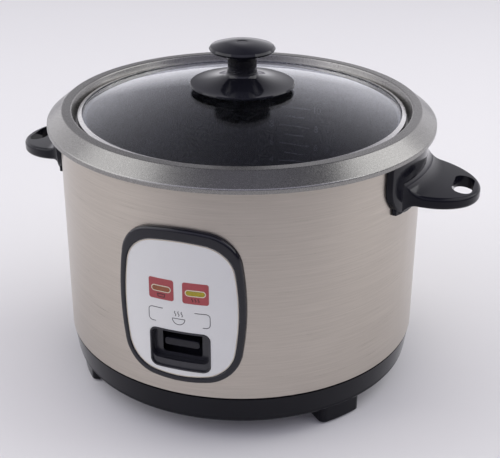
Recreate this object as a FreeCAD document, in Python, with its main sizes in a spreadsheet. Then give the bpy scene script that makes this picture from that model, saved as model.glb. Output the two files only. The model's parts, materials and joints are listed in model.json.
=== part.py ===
import FreeCAD, Part
import math
import os
import re
import Sketcher

# Driving dimensions, in millimetres and degrees
SIZES = {
    # outer wall, base and feet
    "wall_radius": 125.0,
    "wall_gauge": 0.8,
    "wall_height": 148.0,
    "foot_height": 15.0,
    "skirt_height": 20.0,
    "skirt_draft": 2.2,
    "skirt_step": 0.5,
    "skirt_wall": 2.6,
    "groove_height": 1.5,
    "tray_floor": 2.5,
    "spigot_height": 6.0,
    "leg_radius": 118.5,
    "leg_width": 33.0,
    "leg_depth": 20.0,
    "leg_corner": 4.5,
    "foot_turn": 36.5,
    "pad_radius": 7.0,
    "pad_height": 2.5,
    "pad_proud": 1.5,
    "vent_width": 4.0,
    "vent_length": 24.0,
    "vent_radius": 36.0,
    # liner and heating plate
    "sheet_gauge": 0.8,
    "liner_rise": 13.0,
    "liner_mouth": 26.0,
    "liner_cone": 14.0,
    "liner_flare": 9.5,
    "flare_drop": 15.0,
    "leg_rise": 4.2,
    "plate_radius": 88.0,
    "plate_thickness": 16.0,
    "plate_bore": 20.0,
    "plate_screw_ring": 76.0,
    "element_ring": 60.0,
    "element_radius": 4.0,
    "terminal_turn": 12.0,
    # inner pot
    "jacket_gap": 17.4,
    "pot_gauge": 1.6,
    "pot_slack": 2.4,
    "pot_corner": 22.0,
    "brim_rise": 11.0,
    "brim_overhang": 8.3,
    "brim_lip": 3.2,
    "brim_drop": 11.5,
    "slope_width": 10.3,
    "crest_width": 6.5,
    "riser_lean": 2.5,
    "seat_depth": 9.2,
    # lid and knob
    "lid_slack": 1.6,
    "band_gauge": 0.6,
    "band_height": 4.6,
    "band_lap": 2.8,
    "dome_rise": 21.0,
    "glass_thickness": 3.6,
    "knob_flange_radius": 36.0,
    "knob_flange_lift": 0.9,
    "knob_flange_rim": 1.7,
    "knob_seam_rise": 10.8,
    "knob_neck_radius": 9.9,
    "knob_neck_height": 8.5,
    "knob_cap_radius": 22.5,
    "knob_cap_rim": 15.4,
    "knob_top_rise": 19.7,
    "knob_dimple": 4.2,
    # panel, switch frame and lamps
    "panel_width": 84.6,
    "panel_height": 109.4,
    "panel_centre": 100.3,
    "panel_rise": 3.4,
    "plate_inset": 0.8,
    "bezel_round": 2.4,
    "label_width": 76.4,
    "label_height": 96.8,
    "label_centre": 98.4,
    "label_thickness": 2.0,
    "frame_width": 40.8,
    "frame_height": 28.4,
    "frame_centre": 69.0,
    "frame_wall": 1.0,
    "frame_depth": 7.0,
    "frame_corner": 5.0,
    "sill_height": 6.0,
    "sill_inset": 1.0,
    "window_width": 27.0,
    "window_height": 16.8,
    "lens_length": 12.2,
    "lens_height": 3.2,
    "lens_spread": 11.4,
    "lens_centre": 112.0,
    # switch lever, magnet and sensor
    "pivot_reach": 65.0,
    "pivot_height": 30.0,
    "fork_height": 22.0,
    "strip_thickness": 2.0,
    "strip_width": 12.0,
    "stem_reach": 113.0,
    "stem_top": 80.0,
    "bar_width": 24.0,
    "bar_height": 5.5,
    "bar_centre": 71.5,
    "bar_reach": 122.5,
    "cover_width": 34.0,
    "cover_foot": 56.0,
    "cover_top": 86.0,
    "pin_radius": 1.5,
    "magnet_radius": 7.0,
    "magnet_height": 8.5,
    "magnet_gap": 5.6,
    "rod_radius": 2.5,
    "collar_radius": 5.0,
    "sensor_radius": 18.2,
    "sleeve_radius": 9.0,
    "sensor_drop": 0.2,
    # handles
    "handle_reach": 166.3,
    "handle_root": 36.5,
    "handle_thickness": 8.1,
    "handle_round": 2.4,
    "handle_drop": 25.5,
    "handle_droop": 5.8,
    "handle_flare": 12.0,
    "root_bend": 16.0,
    "slot_width": 13.2,
    "slot_length": 30.0,
    "slot_inset": 11.3,
    "collar_half_width": 54.0,
    "collar_drop": 5.9,
    "collar_corner": 22.0,
    "collar_depth": 3.5,
    # inlet
    "inlet_width": 29.0,
    "inlet_height": 19.0,
    "inlet_centre": 52.5,
    "inlet_wall": 2.0,
    "inlet_depth": 12.0,
    # fits
    "rest_gap": 0.2,
    "slide_gap": 0.3,
    "hole_gap": 0.2,
    "screw_radius": 2.0,
    "screw_head": 4.0,
}

doc = FreeCAD.newDocument("rice_cooker")
sheet = doc.addObject("Spreadsheet::Sheet", "dims")
for row, (alias, number) in enumerate(SIZES.items(), start=1):
    sheet.set(f"A{row}", alias)
    sheet.set(f"B{row}", str(number))
    sheet.setAlias(f"B{row}", alias)
doc.recompute()

# Heights above the floor that follow from the driving dimensions
SKIRT_TOP = "(foot_height + skirt_height - groove_height)"
WALL_FOOT = "(foot_height + skirt_height)"
WALL_TOP = "(foot_height + skirt_height + wall_height)"
FLOOR_TOP = "(foot_height + tray_floor)"
LINER_FOOT = "(foot_height + skirt_height + liner_rise)"
LINER_FLOOR = f"({LINER_FOOT} + sheet_gauge)"
PLATE_FOOT = f"({LINER_FLOOR} + leg_rise)"
PLATE_TOP = f"({PLATE_FOOT} + plate_thickness)"
POT_FOOT = f"({PLATE_TOP} + rest_gap)"
BRIM_TOP = f"({WALL_TOP} + brim_rise)"
SEAT = f"({BRIM_TOP} - seat_depth)"
BAND_FOOT = f"({SEAT} + slide_gap)"
BAND_TOP = f"({BAND_FOOT} + band_height)"
GLASS_EDGE = f"({BAND_FOOT} + band_gauge + 0.1)"
GLASS_TOP = f"({SEAT} + dome_rise)"
GLASS_UNDER = f"({GLASS_TOP} - glass_thickness)"
HANDLE_TOP = f"({WALL_TOP} - handle_drop)"
COLLAR_FOOT = f"({HANDLE_TOP} - handle_thickness - collar_drop)"
KNOB_SEAM = f"({GLASS_TOP} + knob_seam_rise)"
CAP_RIM = f"({KNOB_SEAM} + knob_cap_rim)"
KNOB_TOP = f"({KNOB_SEAM} + knob_top_rise)"
SLEEVE_FOOT = f"({PLATE_FOOT} - 21)"
MAGNET_FOOT = f"({SLEEVE_FOOT} + 1.3)"
MAGNET_TOP = f"({MAGNET_FOOT} + magnet_height)"
SENSOR_TOP = f"({PLATE_TOP} - sensor_drop)"

# Radii that follow from the driving dimensions
POT_OUT = "(wall_radius - jacket_gap)"
POT_IN = "(wall_radius - jacket_gap - pot_gauge)"
LINER_IN = f"({POT_OUT} + pot_slack)"
BRIM_RADIUS = "(wall_radius + brim_overhang)"
CREST_OUT = f"({BRIM_RADIUS} - slope_width)"
CREST_IN = f"({CREST_OUT} - crest_width)"
SEAT_OUT = f"({CREST_IN} - riser_lean)"
BAND_RADIUS = f"({SEAT_OUT} - lid_slack)"
GLASS_RADIUS = f"({BAND_RADIUS} - band_gauge - hole_gap)"
DOME_SAG = f"({GLASS_TOP} - {GLASS_EDGE} - glass_thickness + 0.3)"
DOME_RADIUS = f"(({GLASS_RADIUS}^2 + {DOME_SAG}^2) / (2 * {DOME_SAG}))"
PANEL_FRONT = "(wall_radius + panel_rise)"
BACK_WALL = f"({PANEL_FRONT} - frame_depth - frame_wall)"
COLLAR_OUT = "(wall_radius + hole_gap + collar_depth)"


# Links a written size to the sheet
def bound(text):
    def linked(match):
        word = match.group(0)
        return "dims." + word if word in SIZES else word
    return re.sub(r"[A-Za-z_][A-Za-z_0-9]*", linked, str(text))


def value(text):
    return float(sheet.evalExpression(bound(text)))


# Draws closed outlines in a sketch; a corner is (x, y) or (x, y, radius, turn) for an arc to the next corner
def draw(sketch, outlines):
    shapes = []
    rules = []
    links = []
    for outline in outlines:
        first = len(shapes)
        count = len(outline)
        spots = [(value(corner[0]), value(corner[1])) for corner in outline]
        ends = []
        for index, corner in enumerate(outline):
            here = FreeCAD.Vector(*spots[index], 0)
            there = FreeCAD.Vector(*spots[(index + 1) % count], 0)
            if len(corner) == 2:
                shapes.append(Part.LineSegment(here, there))
                ends.append((1, 2))
                continue
            radius = value(corner[2])
            chord = there - here
            rise = math.sqrt(max(radius ** 2 - chord.Length ** 2 / 4, 0))
            side = FreeCAD.Vector(-chord.y, chord.x, 0).normalize() * rise * corner[3]
            centre = (here + there) * 0.5 + side
            start, finish = (here, there) if corner[3] > 0 else (there, here)
            turn_from = math.atan2(start.y - centre.y, start.x - centre.x)
            turn_to = math.atan2(finish.y - centre.y, finish.x - centre.x)
            circle = Part.Circle(centre, FreeCAD.Vector(0, 0, 1), radius)
            shapes.append(Part.ArcOfCircle(circle, turn_from, turn_to))
            ends.append((1, 2) if corner[3] > 0 else (2, 1))
        for index, corner in enumerate(outline):
            here = first + index
            after = first + (index + 1) % count
            rules.append(Sketcher.Constraint("Coincident", here, ends[index][1], after,
                                             ends[(index + 1) % count][0]))
            for kind, axis in (("DistanceX", 0), ("DistanceY", 1)):
                links.append((len(rules), corner[axis]))
                rules.append(Sketcher.Constraint(kind, -1, 1, here, ends[index][0], spots[index][axis]))
            if len(corner) == 4:
                links.append((len(rules), corner[2]))
                rules.append(Sketcher.Constraint("Radius", here, value(corner[2])))
    sketch.addGeometry(shapes, False)
    sketch.addConstraint(rules)
    for index, text in links:
        sketch.setExpression(f"Constraints[{index}]", bound(text))


def sketched(body, label, plane, outlines, offset="0"):
    sketch = body.newObject("Sketcher::SketchObject", label)
    planes = [item for item in body.Origin.OriginFeatures if item.Role == plane]
    sketch.AttachmentSupport = [(planes[0], "")]
    sketch.MapMode = "FlatFace"
    sketch.setExpression("AttachmentOffset.Base.z", bound(offset))
    draw(sketch, outlines)
    return sketch


# A body turned about the upright axis
def turned(label, *outlines):
    body = doc.addObject("PartDesign::Body", label)
    sketch = sketched(body, label + "_profile", "XZ_Plane", outlines)
    turn = body.newObject("PartDesign::Revolution", label + "_turn")
    turn.Profile = sketch
    turn.ReferenceAxis = (sketch, ["V_Axis"])
    turn.Angle = 360.0
    return body


# A body padded from one plane: XY rises, XZ runs to the front, YZ runs to the right
def padded(label, plane, start, length, *outlines):
    body = doc.addObject("PartDesign::Body", label)
    sketch = sketched(body, label + "_outline", plane, outlines, start)
    pad = body.newObject("PartDesign::Pad", label + "_pad")
    pad.Profile = sketch
    pad.setExpression("Length", bound(length))
    return body


def spun(item, degrees):
    item.Placement = FreeCAD.Placement(FreeCAD.Vector(), FreeCAD.Rotation(FreeCAD.Vector(0, 0, 1), 1.0))
    item.setExpression("Placement.Rotation.Angle", bound(degrees))
    return item


# An upright cylinder, placed by its foot
def post(label, radius, foot, top, ring="0", degrees="0"):
    item = doc.addObject("Part::Cylinder", label)
    item.setExpression("Radius", bound(radius))
    item.setExpression("Height", bound(f"({top}) - ({foot})"))
    item.setExpression("Placement.Base.x", bound(f"({ring}) * cos({degrees})"))
    item.setExpression("Placement.Base.y", bound(f"({ring}) * sin({degrees})"))
    item.setExpression("Placement.Base.z", bound(foot))
    return item


# A level cylinder along one axis, placed by its start
def rod(label, radius, length, start, degrees=0.0):
    item = doc.addObject("Part::Cylinder", label)
    item.setExpression("Radius", bound(radius))
    item.setExpression("Height", bound(length))
    spin = FreeCAD.Rotation(FreeCAD.Vector(0, 0, 1), degrees)
    item.Placement = FreeCAD.Placement(FreeCAD.Vector(), spin * FreeCAD.Rotation(FreeCAD.Vector(0, 1, 0), 90))
    for axis, text in zip("xyz", start):
        item.setExpression(f"Placement.Base.{axis}", bound(text))
    return item


# A box between two corners
def block(label, low, high):
    item = doc.addObject("Part::Box", label)
    for name, axis, first, last in zip(("Length", "Width", "Height"), "xyz", low, high):
        item.setExpression(name, bound(f"({last}) - ({first})"))
        item.setExpression(f"Placement.Base.{axis}", bound(first))
    return item


def joined(kind, label, items):
    item = doc.addObject(kind, label)
    item.Shapes = list(items)
    return item


def fused(label, *items):
    return joined("Part::MultiFuse", label, items)


def shared(label, *items):
    return joined("Part::MultiCommon", label, items)


def cut(label, base, *tools):
    item = doc.addObject("Part::Cut", label)
    item.Base = base
    item.Tool = tools[0] if len(tools) == 1 else fused(label + "_tools", *tools)
    return item


def group(label, *items):
    item = doc.addObject("Part::Compound", label)
    item.Links = list(items)
    return item


# Rounds the edges that a test picks
def rounded(label, base, radius, picks):
    doc.recompute()
    edges = []
    for index, edge in enumerate(base.Shape.Edges, start=1):
        if picks(edge):
            edges.append((index, value(radius), value(radius)))
    item = doc.addObject("Part::Fillet", label)
    item.Base = base
    item.Edges = edges
    return item


def samples(edge):
    return [edge.valueAt(edge.FirstParameter + (edge.LastParameter - edge.FirstParameter) * part / 4)
            for part in range(5)]


def rings(*spots):
    targets = [(value(radius), value(height)) for radius, height in spots]

    def picks(edge):
        for radius, height in targets:
            if all(abs(math.hypot(p.x, p.y) - radius) < 0.02 and abs(p.z - height) < 0.02
                   for p in samples(edge)):
                return True
        return False
    return picks


def rectangle(half_width, low, high, corner=None):
    if corner is None:
        return [(f"-({half_width})", low), (half_width, low), (half_width, high), (f"-({half_width})", high)]
    corner = f"({corner})"
    inner = f"(({half_width}) - {corner})"
    return [
        (f"-({inner})", low), (inner, low, corner, 1),
        (half_width, f"({low}) + {corner}"), (half_width, f"({high}) - {corner}", corner, 1),
        (inner, high), (f"-({inner})", high, corner, 1),
        (f"-({half_width})", f"({high}) - {corner}"), (f"-({half_width})", f"({low}) + {corner}", corner, 1),
    ]


# The bowed outline of the panel, with soft corners
def bowed(half_width, half_height, middle):
    side = f"(0.56 * ({half_height}))"
    end = f"(0.476 * ({half_width}))"
    side_bow = f"(4.8 * ({half_width}))"
    end_bow = f"(2.9 * ({half_width}))"
    wide = f"(({half_width}) - {side_bow} + sqrt({side_bow}^2 - {side}^2))"
    tall = f"(({half_height}) - {end_bow} + sqrt({end_bow}^2 - {end}^2))"
    soft = f"(sqrt(({wide} - {end})^2 + ({tall} - {side})^2) / 1.175)"
    return [
        (wide, f"{middle} - {side}", side_bow, 1), (wide, f"{middle} + {side}", soft, 1),
        (end, f"{middle} + {tall}", end_bow, 1), (f"-{end}", f"{middle} + {tall}", soft, 1),
        (f"-{wide}", f"{middle} + {side}", side_bow, 1), (f"-{wide}", f"{middle} - {side}", soft, 1),
        (f"-{end}", f"{middle} - {tall}", end_bow, 1), (end, f"{middle} - {tall}", soft, 1),
    ]


# Base tray with its skirt, vents and legs
NECK = "(wall_radius - wall_gauge - 0.5)"
SKIRT_OUT = "(wall_radius - 0.4)"
SKIRT_LOW = "(wall_radius - 0.4 - skirt_draft)"
tray_ring = turned("tray_ring", [
    (SKIRT_OUT, SKIRT_TOP),
    (NECK, SKIRT_TOP),
    (NECK, f"{WALL_FOOT} + spigot_height"),
    (f"{NECK} - skirt_wall", f"{WALL_FOOT} + spigot_height"),
    (f"{NECK} - skirt_wall", SKIRT_TOP),
    (f"{SKIRT_LOW} - skirt_wall - skirt_step", FLOOR_TOP),
    ("0", FLOOR_TOP),
    ("0", "foot_height"),
    (f"{SKIRT_LOW} - skirt_step - 0.6", "foot_height"),
    (f"{SKIRT_LOW} - skirt_step", "foot_height + 0.9"),
    (f"{SKIRT_LOW} - skirt_step", "foot_height + 3"),
    (SKIRT_LOW, "foot_height + 3"),
])
vent = sketched(tray_ring, "vent_outline", "XY_Plane", [[
    ("vent_radius", "-vent_width / 2"),
    ("vent_radius + vent_length", "-vent_width / 2", "0.5001 * vent_width", 1),
    ("vent_radius + vent_length", "vent_width / 2"),
    ("vent_radius", "vent_width / 2", "0.5001 * vent_width", 1),
]], "foot_height - 1")
vent_cut = tray_ring.newObject("PartDesign::Pocket", "vent_cut")
vent_cut.Profile = vent
vent_cut.Reversed = True
vent_cut.setExpression("Length", bound("tray_floor + 2"))
doc.recompute()
vents = tray_ring.newObject("PartDesign::PolarPattern", "vents")
vents.Originals = [vent_cut]
vents.Axis = ([item for item in tray_ring.Origin.OriginFeatures if item.Role == "Z_Axis"][0], [""])
vents.Angle = 360.0
vents.Occurrences = 12
tray_ring.Tip = vents

legs = []
leg_holes = []
pads = []
LEG_HALF = "(leg_width / 2)"
LEG_EDGE = f"sqrt(leg_radius^2 - ({LEG_HALF} - leg_corner)^2)"
for number, turn in enumerate(("foot_turn", "(180 - foot_turn)", "(180 + foot_turn)", "(360 - foot_turn)")):
    leg = padded(f"leg_{number}", "XY_Plane", "pad_proud", "foot_height + 1 - pad_proud", [
        ("leg_radius - leg_depth", f"2.5 - {LEG_HALF}"),
        ("leg_radius - leg_corner", f"-{LEG_HALF}", "leg_corner", 1),
        (LEG_EDGE, f"leg_corner - {LEG_HALF}", "leg_radius", 1),
        (LEG_EDGE, f"{LEG_HALF} - leg_corner", "leg_corner", 1),
        ("leg_radius - leg_corner", LEG_HALF),
        ("leg_radius - leg_depth", f"{LEG_HALF} - 2.5"),
    ])
    legs.append(spun(leg, turn))
    ring = "(leg_radius - leg_depth / 2)"
    leg_holes.append(post(f"leg_hole_{number}", "pad_radius + hole_gap", "0", "pad_height + hole_gap",
                          ring, turn))
    pads.append(post(f"pad_{number}", "pad_radius", "0", "pad_height", ring, turn))

# Posts between the tray and the liner, and the screws that hold the tray to them
POST_RING = "(plate_radius + 4)"
posts = []
tray_screws = []
tray_screw_holes = []
for number, turn in enumerate(("35", "145", "215", "325")):
    spot = (POST_RING, turn)
    body = post(f"post_body_{number}", "4.5", FLOOR_TOP, LINER_FOOT, *spot)
    bore = post(f"post_bore_{number}", "screw_radius + 0.1", f"{FLOOR_TOP} - 1", f"{FLOOR_TOP} + 12", *spot)
    posts.append(cut(f"post_{number}", body, bore))
    head = post(f"tray_screw_head_{number}", "screw_head", "foot_height - 2.2", "foot_height", *spot)
    shank = post(f"tray_screw_shank_{number}", "screw_radius", "foot_height - 0.5",
                 f"{FLOOR_TOP} + 10", *spot)
    drive = post(f"tray_screw_drive_{number}", "1.6", "foot_height - 3", "foot_height - 1", *spot)
    tray_screws.append(cut(f"tray_screw_{number}", fused(f"tray_screw_blank_{number}", head, shank), drive))
    tray_screw_holes.append(post(f"tray_screw_hole_{number}", "screw_radius + hole_gap", "foot_height - 1",
                                 f"{FLOOR_TOP} + 1", *spot))
    tray_screw_holes.append(post(f"tray_screw_well_{number}", "screw_head + hole_gap", "0",
                                 "foot_height", *spot))
base_tray = cut("base_tray", fused("tray_blank", tray_ring, *legs), *leg_holes, *tray_screw_holes)
foot_pads = group("foot_pads", *pads)
base_posts = group("base_posts", *posts)
base_screws = group("base_screws", *tray_screws)

# Screws that hold the handles from inside the wall
SCREW_HEIGHT = f"({HANDLE_TOP} - 0.55 * handle_thickness)"
handle_screw_list = []
wall_holes = []
collar_holes = []
for number, turn in enumerate((-10.0, 10.0, 170.0, 190.0)):
    def outward(reach):
        return (f"({reach}) * cos({turn})", f"({reach}) * sin({turn})", SCREW_HEIGHT)
    inside = "wall_radius - wall_gauge"
    head = rod(f"handle_screw_head_{number}", "screw_head", "2.4", outward(f"{inside} - 2.6"), turn)
    shank = rod(f"handle_screw_shank_{number}", "screw_radius", "6.4", outward(f"{inside} - 2.5"), turn)
    drive = rod(f"handle_screw_drive_{number}", "1.6", "2", outward(f"{inside} - 3.6"), turn)
    blank = fused(f"handle_screw_blank_{number}", head, shank)
    handle_screw_list.append(cut(f"handle_screw_{number}", blank, drive))
    wall_holes.append(rod(f"wall_hole_{number}", "screw_radius + hole_gap", "4",
                          outward(f"{inside} - 2"), turn))
    collar_holes.append(rod(f"collar_hole_{number}", "screw_radius + 0.1", "5.4",
                            outward("wall_radius - 1"), turn))
handle_screws = group("handle_screws", *handle_screw_list)

# Outer wall with its front opening, inlet hole and screw holes
wall_tube = turned("wall_tube", [
    ("wall_radius - wall_gauge", WALL_FOOT),
    ("wall_radius", WALL_FOOT),
    ("wall_radius", WALL_TOP),
    ("wall_radius - wall_gauge", WALL_TOP),
])
front_opening = padded("front_opening", "XZ_Plane", "wall_radius / 2", "wall_radius",
                       rectangle("frame_width / 2 + 2", "frame_centre - frame_height / 2 - 2",
                                 "lens_centre + 13", "3"))
inlet_opening = padded("inlet_opening", "XZ_Plane", "-1.5 * wall_radius", "wall_radius",
                       rectangle("inlet_width / 2 + hole_gap", "inlet_centre - inlet_height / 2 - hole_gap",
                                 "inlet_centre + inlet_height / 2 + hole_gap", "2"))
outer_shell = cut("outer_shell", wall_tube, front_opening, inlet_opening, *wall_holes)

# Liner, with a cone at its foot and a flare at its mouth
LINER_OUT = f"({LINER_IN} + sheet_gauge)"
FLARE_IN = f"({LINER_IN} + liner_flare)"
FLARE_FOOT = f"({WALL_TOP} - flare_drop)"
FLARE_HEAD = f"({WALL_TOP} - flare_drop + liner_flare)"
liner_sheet = turned("liner_sheet", [
    ("liner_mouth", LINER_FOOT),
    (f"{LINER_OUT} - liner_cone - 0.3", LINER_FOOT),
    (LINER_OUT, f"{LINER_FOOT} + liner_cone + 0.3"),
    (LINER_OUT, f"{FLARE_FOOT} - 0.3"),
    (f"{FLARE_IN} + sheet_gauge", f"{FLARE_HEAD} - 0.3"),
    (f"{FLARE_IN} + sheet_gauge", WALL_TOP),
    ("wall_radius + 0.4", WALL_TOP),
    ("wall_radius + 0.4", f"{WALL_TOP} + sheet_gauge"),
    (FLARE_IN, f"{WALL_TOP} + sheet_gauge"),
    (FLARE_IN, FLARE_HEAD),
    (LINER_IN, FLARE_FOOT),
    (LINER_IN, f"{LINER_FLOOR} + liner_cone"),
    (f"{LINER_IN} - liner_cone", LINER_FLOOR),
    ("liner_mouth", LINER_FLOOR),
])
PLATE_SCREW_TURNS = ("90", "210", "330")
TERMINAL_TURNS = ("(180 - terminal_turn)", "(180 + terminal_turn)")
THROUGH_LINER = (f"{LINER_FOOT} - 1", f"{LINER_FLOOR} + 1")
liner_holes = [post(f"liner_screw_hole_{n}", "screw_radius + hole_gap", *THROUGH_LINER,
                    "plate_screw_ring", turn) for n, turn in enumerate(PLATE_SCREW_TURNS)]
liner_holes += [post(f"terminal_hole_{n}", "5.5", *THROUGH_LINER, "element_ring", turn)
                for n, turn in enumerate(TERMINAL_TURNS)]
inner_liner = cut("inner_liner", liner_sheet, *liner_holes)

# Heating plate on three cast legs, with a groove for the tube element
plate_disc = turned("plate_disc", [
    ("plate_bore", PLATE_FOOT),
    ("plate_radius - 5", PLATE_FOOT),
    ("plate_radius", f"{PLATE_FOOT} + 5"),
    ("plate_radius", f"{PLATE_TOP} - 1.5"),
    ("plate_radius - 1.5", PLATE_TOP),
    ("plate_bore", PLATE_TOP),
])
plate_legs = []
plate_bores = []
plate_screw_list = []
for number, turn in enumerate(PLATE_SCREW_TURNS):
    spot = ("plate_screw_ring", turn)
    plate_legs.append(post(f"plate_leg_{number}", "5", LINER_FLOOR, f"{PLATE_FOOT} + 1", *spot))
    plate_bores.append(post(f"plate_bore_{number}", "screw_radius + 0.1", f"{LINER_FLOOR} - 1",
                            f"{PLATE_FOOT} + 6", *spot))
    head = post(f"plate_screw_head_{number}", "screw_head", f"{LINER_FOOT} - 2.4", LINER_FOOT, *spot)
    shank = post(f"plate_screw_shank_{number}", "screw_radius", f"{LINER_FOOT} - 1",
                 f"{PLATE_FOOT} + 5", *spot)
    plate_screw_list.append(fused(f"plate_screw_{number}", head, shank))
plate_groove = doc.addObject("Part::Torus", "plate_groove")
plate_groove.setExpression("Radius1", bound("element_ring"))
plate_groove.setExpression("Radius2", bound("element_radius + 0.1"))
plate_groove.setExpression("Placement.Base.z", bound(PLATE_FOOT))
plate_sockets = [post(f"plate_socket_{n}", "3.6", f"{PLATE_FOOT} - 5", f"{PLATE_FOOT} + 4.1",
                      "element_ring", turn) for n, turn in enumerate(TERMINAL_TURNS)]
plate_blank = fused("plate_blank", plate_disc, *plate_legs)
heating_plate = cut("heating_plate", plate_blank, plate_groove, *plate_bores, *plate_sockets)
plate_screws = group("plate_screws", *plate_screw_list)

# Tube element, open at the terminals
element_tube = doc.addObject("Part::Torus", "element_tube")
element_tube.setExpression("Radius1", bound("element_ring"))
element_tube.setExpression("Radius2", bound("element_radius"))
element_tube.setExpression("Angle3", bound("360 - 2 * terminal_turn"))
element_tube.Placement = FreeCAD.Placement(FreeCAD.Vector(), FreeCAD.Rotation(FreeCAD.Vector(0, 0, 1), 180.0))
element_tube.setExpression("Placement.Base.z", bound(PLATE_FOOT))
element_tube.setExpression("Placement.Rotation.Angle", bound("180 + terminal_turn"))
terminals = [post(f"terminal_{n}", "3.4", f"{LINER_FOOT} - 10", f"{PLATE_FOOT} + 2", "element_ring", turn)
             for n, turn in enumerate(TERMINAL_TURNS)]
heating_element = fused("heating_element", element_tube, *terminals)

# Sensor in the middle of the plate: housing, cap and spring
sensor_housing = turned("sensor_housing", [
    ("rod_radius + slide_gap", SLEEVE_FOOT),
    ("sleeve_radius + 1", SLEEVE_FOOT),
    ("sleeve_radius + 1", f"{PLATE_FOOT} - 1"),
    ("plate_bore + 10", f"{PLATE_FOOT} - 1"),
    ("plate_bore + 10", PLATE_FOOT),
    ("sleeve_radius", PLATE_FOOT),
    ("sleeve_radius", f"{SLEEVE_FOOT} + 1"),
    ("rod_radius + slide_gap", f"{SLEEVE_FOOT} + 1"),
])
sensor_cap = turned("sensor_cap", [
    ("0", f"{MAGNET_TOP} + magnet_gap"),
    ("sleeve_radius - slide_gap", f"{MAGNET_TOP} + magnet_gap"),
    ("sleeve_radius - slide_gap", f"{SENSOR_TOP} - 2.5"),
    ("sensor_radius - 1", f"{SENSOR_TOP} - 2.5"),
    ("sensor_radius - 1", f"{SENSOR_TOP} - 8"),
    ("sensor_radius", f"{SENSOR_TOP} - 8"),
    ("sensor_radius", f"{SENSOR_TOP} - 1"),
    ("sensor_radius - 1", SENSOR_TOP),
    ("0", SENSOR_TOP),
])
spring_wire = 0.9
spring_mean = value("(sleeve_radius + sensor_radius) / 2") - 0.3
spring_foot = value(PLATE_FOOT) + spring_wire
spring_head = value(SENSOR_TOP) - 2.5 - spring_wire
helix = Part.makeHelix((spring_head - spring_foot) / 4, spring_head - spring_foot, spring_mean)
helix.translate(FreeCAD.Vector(0, 0, spring_foot))
spring_start = FreeCAD.Vector(spring_mean, 0, spring_foot)
ring = Part.Wire(Part.makeCircle(spring_wire, spring_start, FreeCAD.Vector(0, 1, 0)))
coil = Part.Wire(helix).makePipeShell([ring], True, True)
sensor_spring = doc.addObject("Part::Feature", "sensor_spring")
sensor_spring.Shape = coil if coil.ShapeType == "Solid" else Part.Solid(coil)

# Magnet on its rod, lifted by the lever's fork
magnet = post("magnet", "magnet_radius", MAGNET_FOOT, MAGNET_TOP)
magnet_rod = turned("magnet_rod", [
    ("0", "fork_height - 3.5"),
    ("collar_radius", "fork_height - 3.5"),
    ("collar_radius", "fork_height - 2.2"),
    ("rod_radius", "fork_height - 2.2"),
    ("rod_radius", "fork_height + 2.2"),
    ("collar_radius", "fork_height + 2.2"),
    ("collar_radius", "fork_height + 3.4"),
    ("rod_radius", "fork_height + 3.4"),
    ("rod_radius", MAGNET_FOOT),
    ("0", MAGNET_FOOT),
])

# Lever: one bent strip with a pivot tube and a fork
HALF_STRIP = "(strip_thickness / 2)"
lever_strip = padded("lever_strip", "YZ_Plane", "-strip_width / 2", "strip_width", [
    ("7", f"fork_height - {HALF_STRIP}"),
    ("7", f"fork_height + {HALF_STRIP}"),
    ("39.5 - pivot_reach", f"fork_height + {HALF_STRIP}"),
    ("25.5 - pivot_reach", f"pivot_height + {HALF_STRIP}"),
    ("1.2 - stem_reach", f"pivot_height + {HALF_STRIP}"),
    ("1.2 - stem_reach", "stem_top"),
    ("-stem_reach", "stem_top"),
    ("-stem_reach", f"pivot_height - {HALF_STRIP}"),
    ("24.7 - pivot_reach", f"pivot_height - {HALF_STRIP}"),
    ("38.7 - pivot_reach", f"fork_height - {HALF_STRIP}"),
])
pivot_tube = rod("pivot_tube", "pin_radius + 2.5", "strip_width",
                 ("-strip_width / 2", "-pivot_reach", "pivot_height"))
pivot_bore = rod("pivot_bore", "pin_radius + slide_gap", "strip_width + 2",
                 ("-strip_width / 2 - 1", "-pivot_reach", "pivot_height"))
fork_slot = block("fork_slot",
                  ("-rod_radius - slide_gap", "-rod_radius - 1.5", "fork_height - strip_thickness"),
                  ("rod_radius + slide_gap", "8", "fork_height + strip_thickness"))
lever_arm = cut("lever_arm", fused("lever_blank", lever_strip, pivot_tube), pivot_bore, fork_slot)
lever_cover = padded("lever_cover", "XZ_Plane", "stem_reach", "1.5",
                     rectangle("cover_width / 2", "cover_foot", "cover_top", "2"))
BAR_LOW = "(bar_centre - bar_height / 2)"
BAR_HIGH = "(bar_centre + bar_height / 2)"
lever_bar = padded("lever_bar", "XZ_Plane", "stem_reach + 1", "bar_reach - stem_reach - 1",
                   rectangle("bar_width / 2", BAR_LOW, BAR_HIGH, "2"))
lever_blank_knob = fused("lever_knob_blank", lever_cover, lever_bar)
bar_face = value("-bar_reach")
lever_knob = rounded("lever_knob", lever_blank_knob, "0.8",
                     lambda edge: all(abs(p.y - bar_face) < 0.02 for p in samples(edge)))

# Bracket and pin that carry the lever
EAR_IN = "(strip_width / 2 + 0.5)"
EAR_OUT = "(strip_width / 2 + 2)"
bracket_top = block("bracket_top", (f"-{EAR_OUT} - 5", "-pivot_reach - 6", f"{LINER_FOOT} - 1.5"),
                    (f"{EAR_OUT} + 5", "6 - pivot_reach", LINER_FOOT))
ears = [block(f"ear_{n}", (low, "-pivot_reach - 5", "pivot_height - 5"),
              (high, "5 - pivot_reach", f"{LINER_FOOT} - 1"))
        for n, (low, high) in enumerate(((EAR_IN, EAR_OUT), (f"-{EAR_OUT}", f"-{EAR_IN}")))]
ear_bore = rod("ear_bore", "pin_radius + 0.05", f"2 * {EAR_OUT} + 2",
               (f"-{EAR_OUT} - 1", "-pivot_reach", "pivot_height"))
lever_bracket = cut("lever_bracket", fused("bracket_blank", bracket_top, *ears), ear_bore)
lever_pin = rod("lever_pin", "pin_radius", f"2 * {EAR_OUT} + 3",
                (f"-{EAR_OUT} - 1.5", "-pivot_reach", "pivot_height"))

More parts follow.
